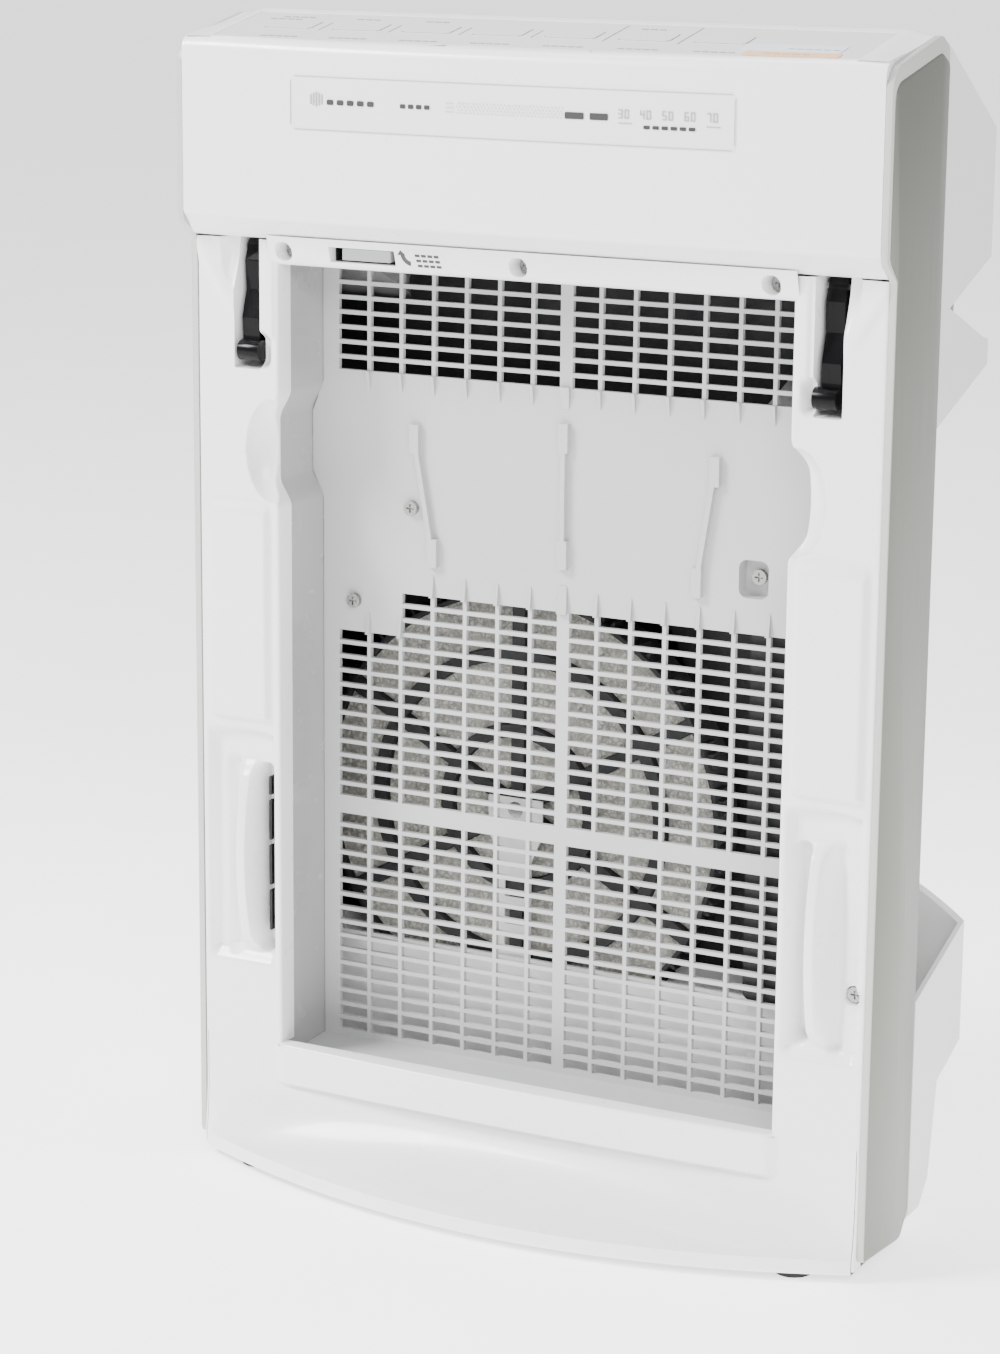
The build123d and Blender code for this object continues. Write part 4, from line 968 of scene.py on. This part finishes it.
def build_shade_screen(shape):
    """Dark sheet behind the right end of the grille, in front of the wall of the tank bay: painted shade that
    stands in for the shadow deep behind the grille.
    """
    slab(shape, round_rectangle((114.5, 203.0), (38.0, 184.0), 4), 47.0, 48.2, upright)


def build_grip_slot_shade(shape):
    """Two columns of dark blocks behind the left grip bar, parted by three ribs: painted shade that stands in
    for the shadow inside the slots.
    """
    for low, high in ((120, 141), (143.4, 164), (166.4, 187), (189.4, 199)):
        for x in (-139.2, -142.0):
            outline = round_rectangle((x, (low + high) / 2), (1.5, high - low), 0.7, 3)
            slab(shape, outline, 7.0, 14.6, upright)


new_piece("bar_feet", build_bar_feet, GRILLE_GREY, "casing", smooth_angle=0)
# a dark sheet as painted shade behind the grille's right end
new_piece("grille_shade_sheet", build_shade_screen, DARK, "casing", smooth_angle=0)
# dark blocks as painted shade inside the grip's slots
new_piece("grip_slot_shade", build_grip_slot_shade, DARK, "casing", smooth_angle=0)


# ------------------------------------------------------------------ details of the back
REAR_HALF, REAR_SIDE, REAR_MIDDLE = 178.3, 122.5, 186.0
REAR_RADIUS = (REAR_HALF ** 2 + (REAR_MIDDLE - REAR_SIDE) ** 2) / (2 * (REAR_MIDDLE - REAR_SIDE))
RIB_PITCH, RIB_MIDDLE, RIB_REACH = 9.0, 260.0, 88.0
BACK_SCREWS = ((-158, 395), (158, 480), (-158, 480), (-158, 110), (-70, 468), (70, 468))
SCREW_RADIUS = 3.6
SCREW_PROFILE = ((1.0, 0.0), (1.0, 0.7), (0.86, 1.25), (0.6, 1.6))     # share of the radius, height


def on_back(x, z, lift):
    """A point on the curved back, lifted off it by lift."""
    radius, angle = REAR_RADIUS + lift, x / REAR_RADIUS
    return place(radius * sin(angle), REAR_MIDDLE - REAR_RADIUS + radius * cos(angle), z)


def build_back_ribs(shape):
    """Shallow upright ribs either side of the middle, longer towards it."""
    for number in [n for n in range(-9, 10) if abs(n) > 2]:
        reach = RIB_REACH * sqrt(max(0.05, 1 - (number / 11) ** 2))
        outline = round_rectangle((RIB_PITCH * number, RIB_MIDDLE), (3.0, 2 * reach), 1.4, 4)
        slab(shape, outline, -0.6, 0.9, on_back)


def build_back_label(shape):
    slab(shape, round_rectangle((-76.0, 118.0), (64.0, 30.0), 2.0, 4), -0.2, 0.12, on_back)


def build_back_label_marks(shape):
    """Rows of plain strokes of uneven length on the label."""
    for row in range(6):
        start, foot = -104.0, 127.4 - 4.0 * row
        for k in range(7 - row % 3):
            width = 3.0 + (k * 5 + row * 3) % 7
            bar_mark(shape, start, start + width, foot, foot + 1.4, on_back, radius=0.3, lift=0.22)
            start += width + 1.6


def build_screw(shape, centre):
    """A pan head with a cross recess: rings that close over a sunk cross."""
    turns = [2 * pi * k / 24 for k in range(24)]
    rings = []
    for share, height in SCREW_PROFILE:
        reach = SCREW_RADIUS * share
        rings.append([
            on_back(centre[0] + reach * cos(turn), centre[1] + reach * sin(turn), height) for turn in turns
        ])
    recess = []
    for k, turn in enumerate(turns):
        reach = SCREW_RADIUS * (0.46 if k % 6 == 0 else 0.2)
        recess.append(on_back(centre[0] + reach * cos(turn), centre[1] + reach * sin(turn), 0.5))
    made = grid(shape, rings + [recess], closed=True)
    shape.faces.new(made[0])
    shape.faces.new(made[-1])


def build_back_screws(shape):
    for centre in BACK_SCREWS:
        build_screw(shape, centre)


new_piece("back_ribs", build_back_ribs, CASE_WHITE, "casing")
new_piece("back_label", build_back_label, PAPER, "casing", smooth_angle=0)
new_piece("back_label_marks", build_back_label_marks, INK_GREY, "casing", smooth_angle=0)
new_piece("back_screws", build_back_screws, ZINC, "casing", smooth_angle=35)


# ------------------------------------------------------------------ camera, light and floor
CAMERA_AT = (727.3, -1421.2, 643.8)
AZIMUTH, ELEVATION, ROLL = radians(27.47), radians(13.28), radians(0.52)
FLOOR_REACH = 60.0
# the paper shines brightest beside the machine: distances in metres, and strengths
PAPER_GLOW = (("From Min", 0.2), ("From Max", 1.1), ("To Min", 2.0), ("To Max", 1.25))
SKY = 0.68
LIGHT_TARGET = (0, 0, 0.3)


def add_camera():
    """The camera stands to the machine's right, above it, and looks down a little."""
    data = bpy.data.cameras.new("camera")
    data.sensor_width = 36.0
    data.lens = 93.4
    data.clip_end = 50.0
    camera = bpy.data.objects.new("camera", data)
    level = cos(ELEVATION)
    forward = Vector((-sin(AZIMUTH) * level, cos(AZIMUTH) * level, -sin(ELEVATION)))
    right = Vector((cos(AZIMUTH), sin(AZIMUTH), 0))
    up = right.cross(forward)
    tilted_right = cos(ROLL) * right + sin(ROLL) * up
    tilted_up = -sin(ROLL) * right + cos(ROLL) * up
    turn = Matrix((tilted_right, tilted_up, -forward)).transposed()
    camera.matrix_world = Matrix.Translation(place(*CAMERA_AT)) @ turn.to_4x4()
    bpy.context.scene.collection.objects.link(camera)
    bpy.context.scene.camera = camera


def add_area_light(name, position, size, power):
    """A square light at a place in metres, turned to the middle of the machine."""
    data = bpy.data.lights.new(name, "AREA")
    data.shape = "RECTANGLE"
    data.size = size
    data.size_y = size
    data.energy = power
    light = bpy.data.objects.new(name, data)
    turn = (Vector(LIGHT_TARGET) - Vector(position)).to_track_quat("-Z", "Y").to_matrix().to_4x4()
    light.matrix_world = Matrix.Translation(position) @ turn
    bpy.context.scene.collection.objects.link(light)


def paper_material():
    """White paper whose glow fades with the distance from the machine."""
    paper = plastic("floor_paper", (0.9, 0.9, 0.9), 0.8, grain=0.05)
    nodes, links = paper.node_tree.nodes, paper.node_tree.links
    shader = nodes["Principled BSDF"]
    shader.inputs["Emission Color"].default_value = (1, 1, 1, 1)
    position = nodes.new("ShaderNodeNewGeometry")
    distance = nodes.new("ShaderNodeVectorMath")
    distance.operation = "LENGTH"
    falloff = nodes.new("ShaderNodeMapRange")
    falloff.interpolation_type = "SMOOTHSTEP"
    for socket, value in PAPER_GLOW:
        falloff.inputs[socket].default_value = value
    links.new(position.outputs["Position"], distance.inputs[0])
    links.new(distance.outputs["Value"], falloff.inputs["Value"])
    links.new(falloff.outputs["Result"], shader.inputs["Emission Strength"])
    return paper


def add_floor():
    """A wide sheet of glowing paper under the machine."""
    mesh = bpy.data.meshes.new("floor")
    reach = FLOOR_REACH
    corners = [(-reach, -reach, 0), (reach, -reach, 0), (reach, reach, 0), (-reach, reach, 0)]
    mesh.from_pydata(corners, [], [(0, 1, 2, 3)])
    mesh.materials.append(paper_material())
    floor = bpy.data.objects.new("floor", mesh)
    bpy.context.scene.collection.objects.link(floor)


def add_sky():
    """An even white surrounding."""
    world = bpy.data.worlds.new("studio")
    world.use_nodes = True
    background = world.node_tree.nodes["Background"]
    background.inputs["Color"].default_value = (1, 1, 1, 1)
    background.inputs["Strength"].default_value = SKY
    bpy.context.scene.world = world


add_camera()
add_floor()
add_sky()
add_area_light("key_light", (-1.6, -1.4, 2.1), 0.8, 150)
add_area_light("fill_light", (1.3, -1.9, 1.5), 0.8, 40)
add_area_light("top_light", (-0.3, 0.2, 2.4), 1.0, 30)
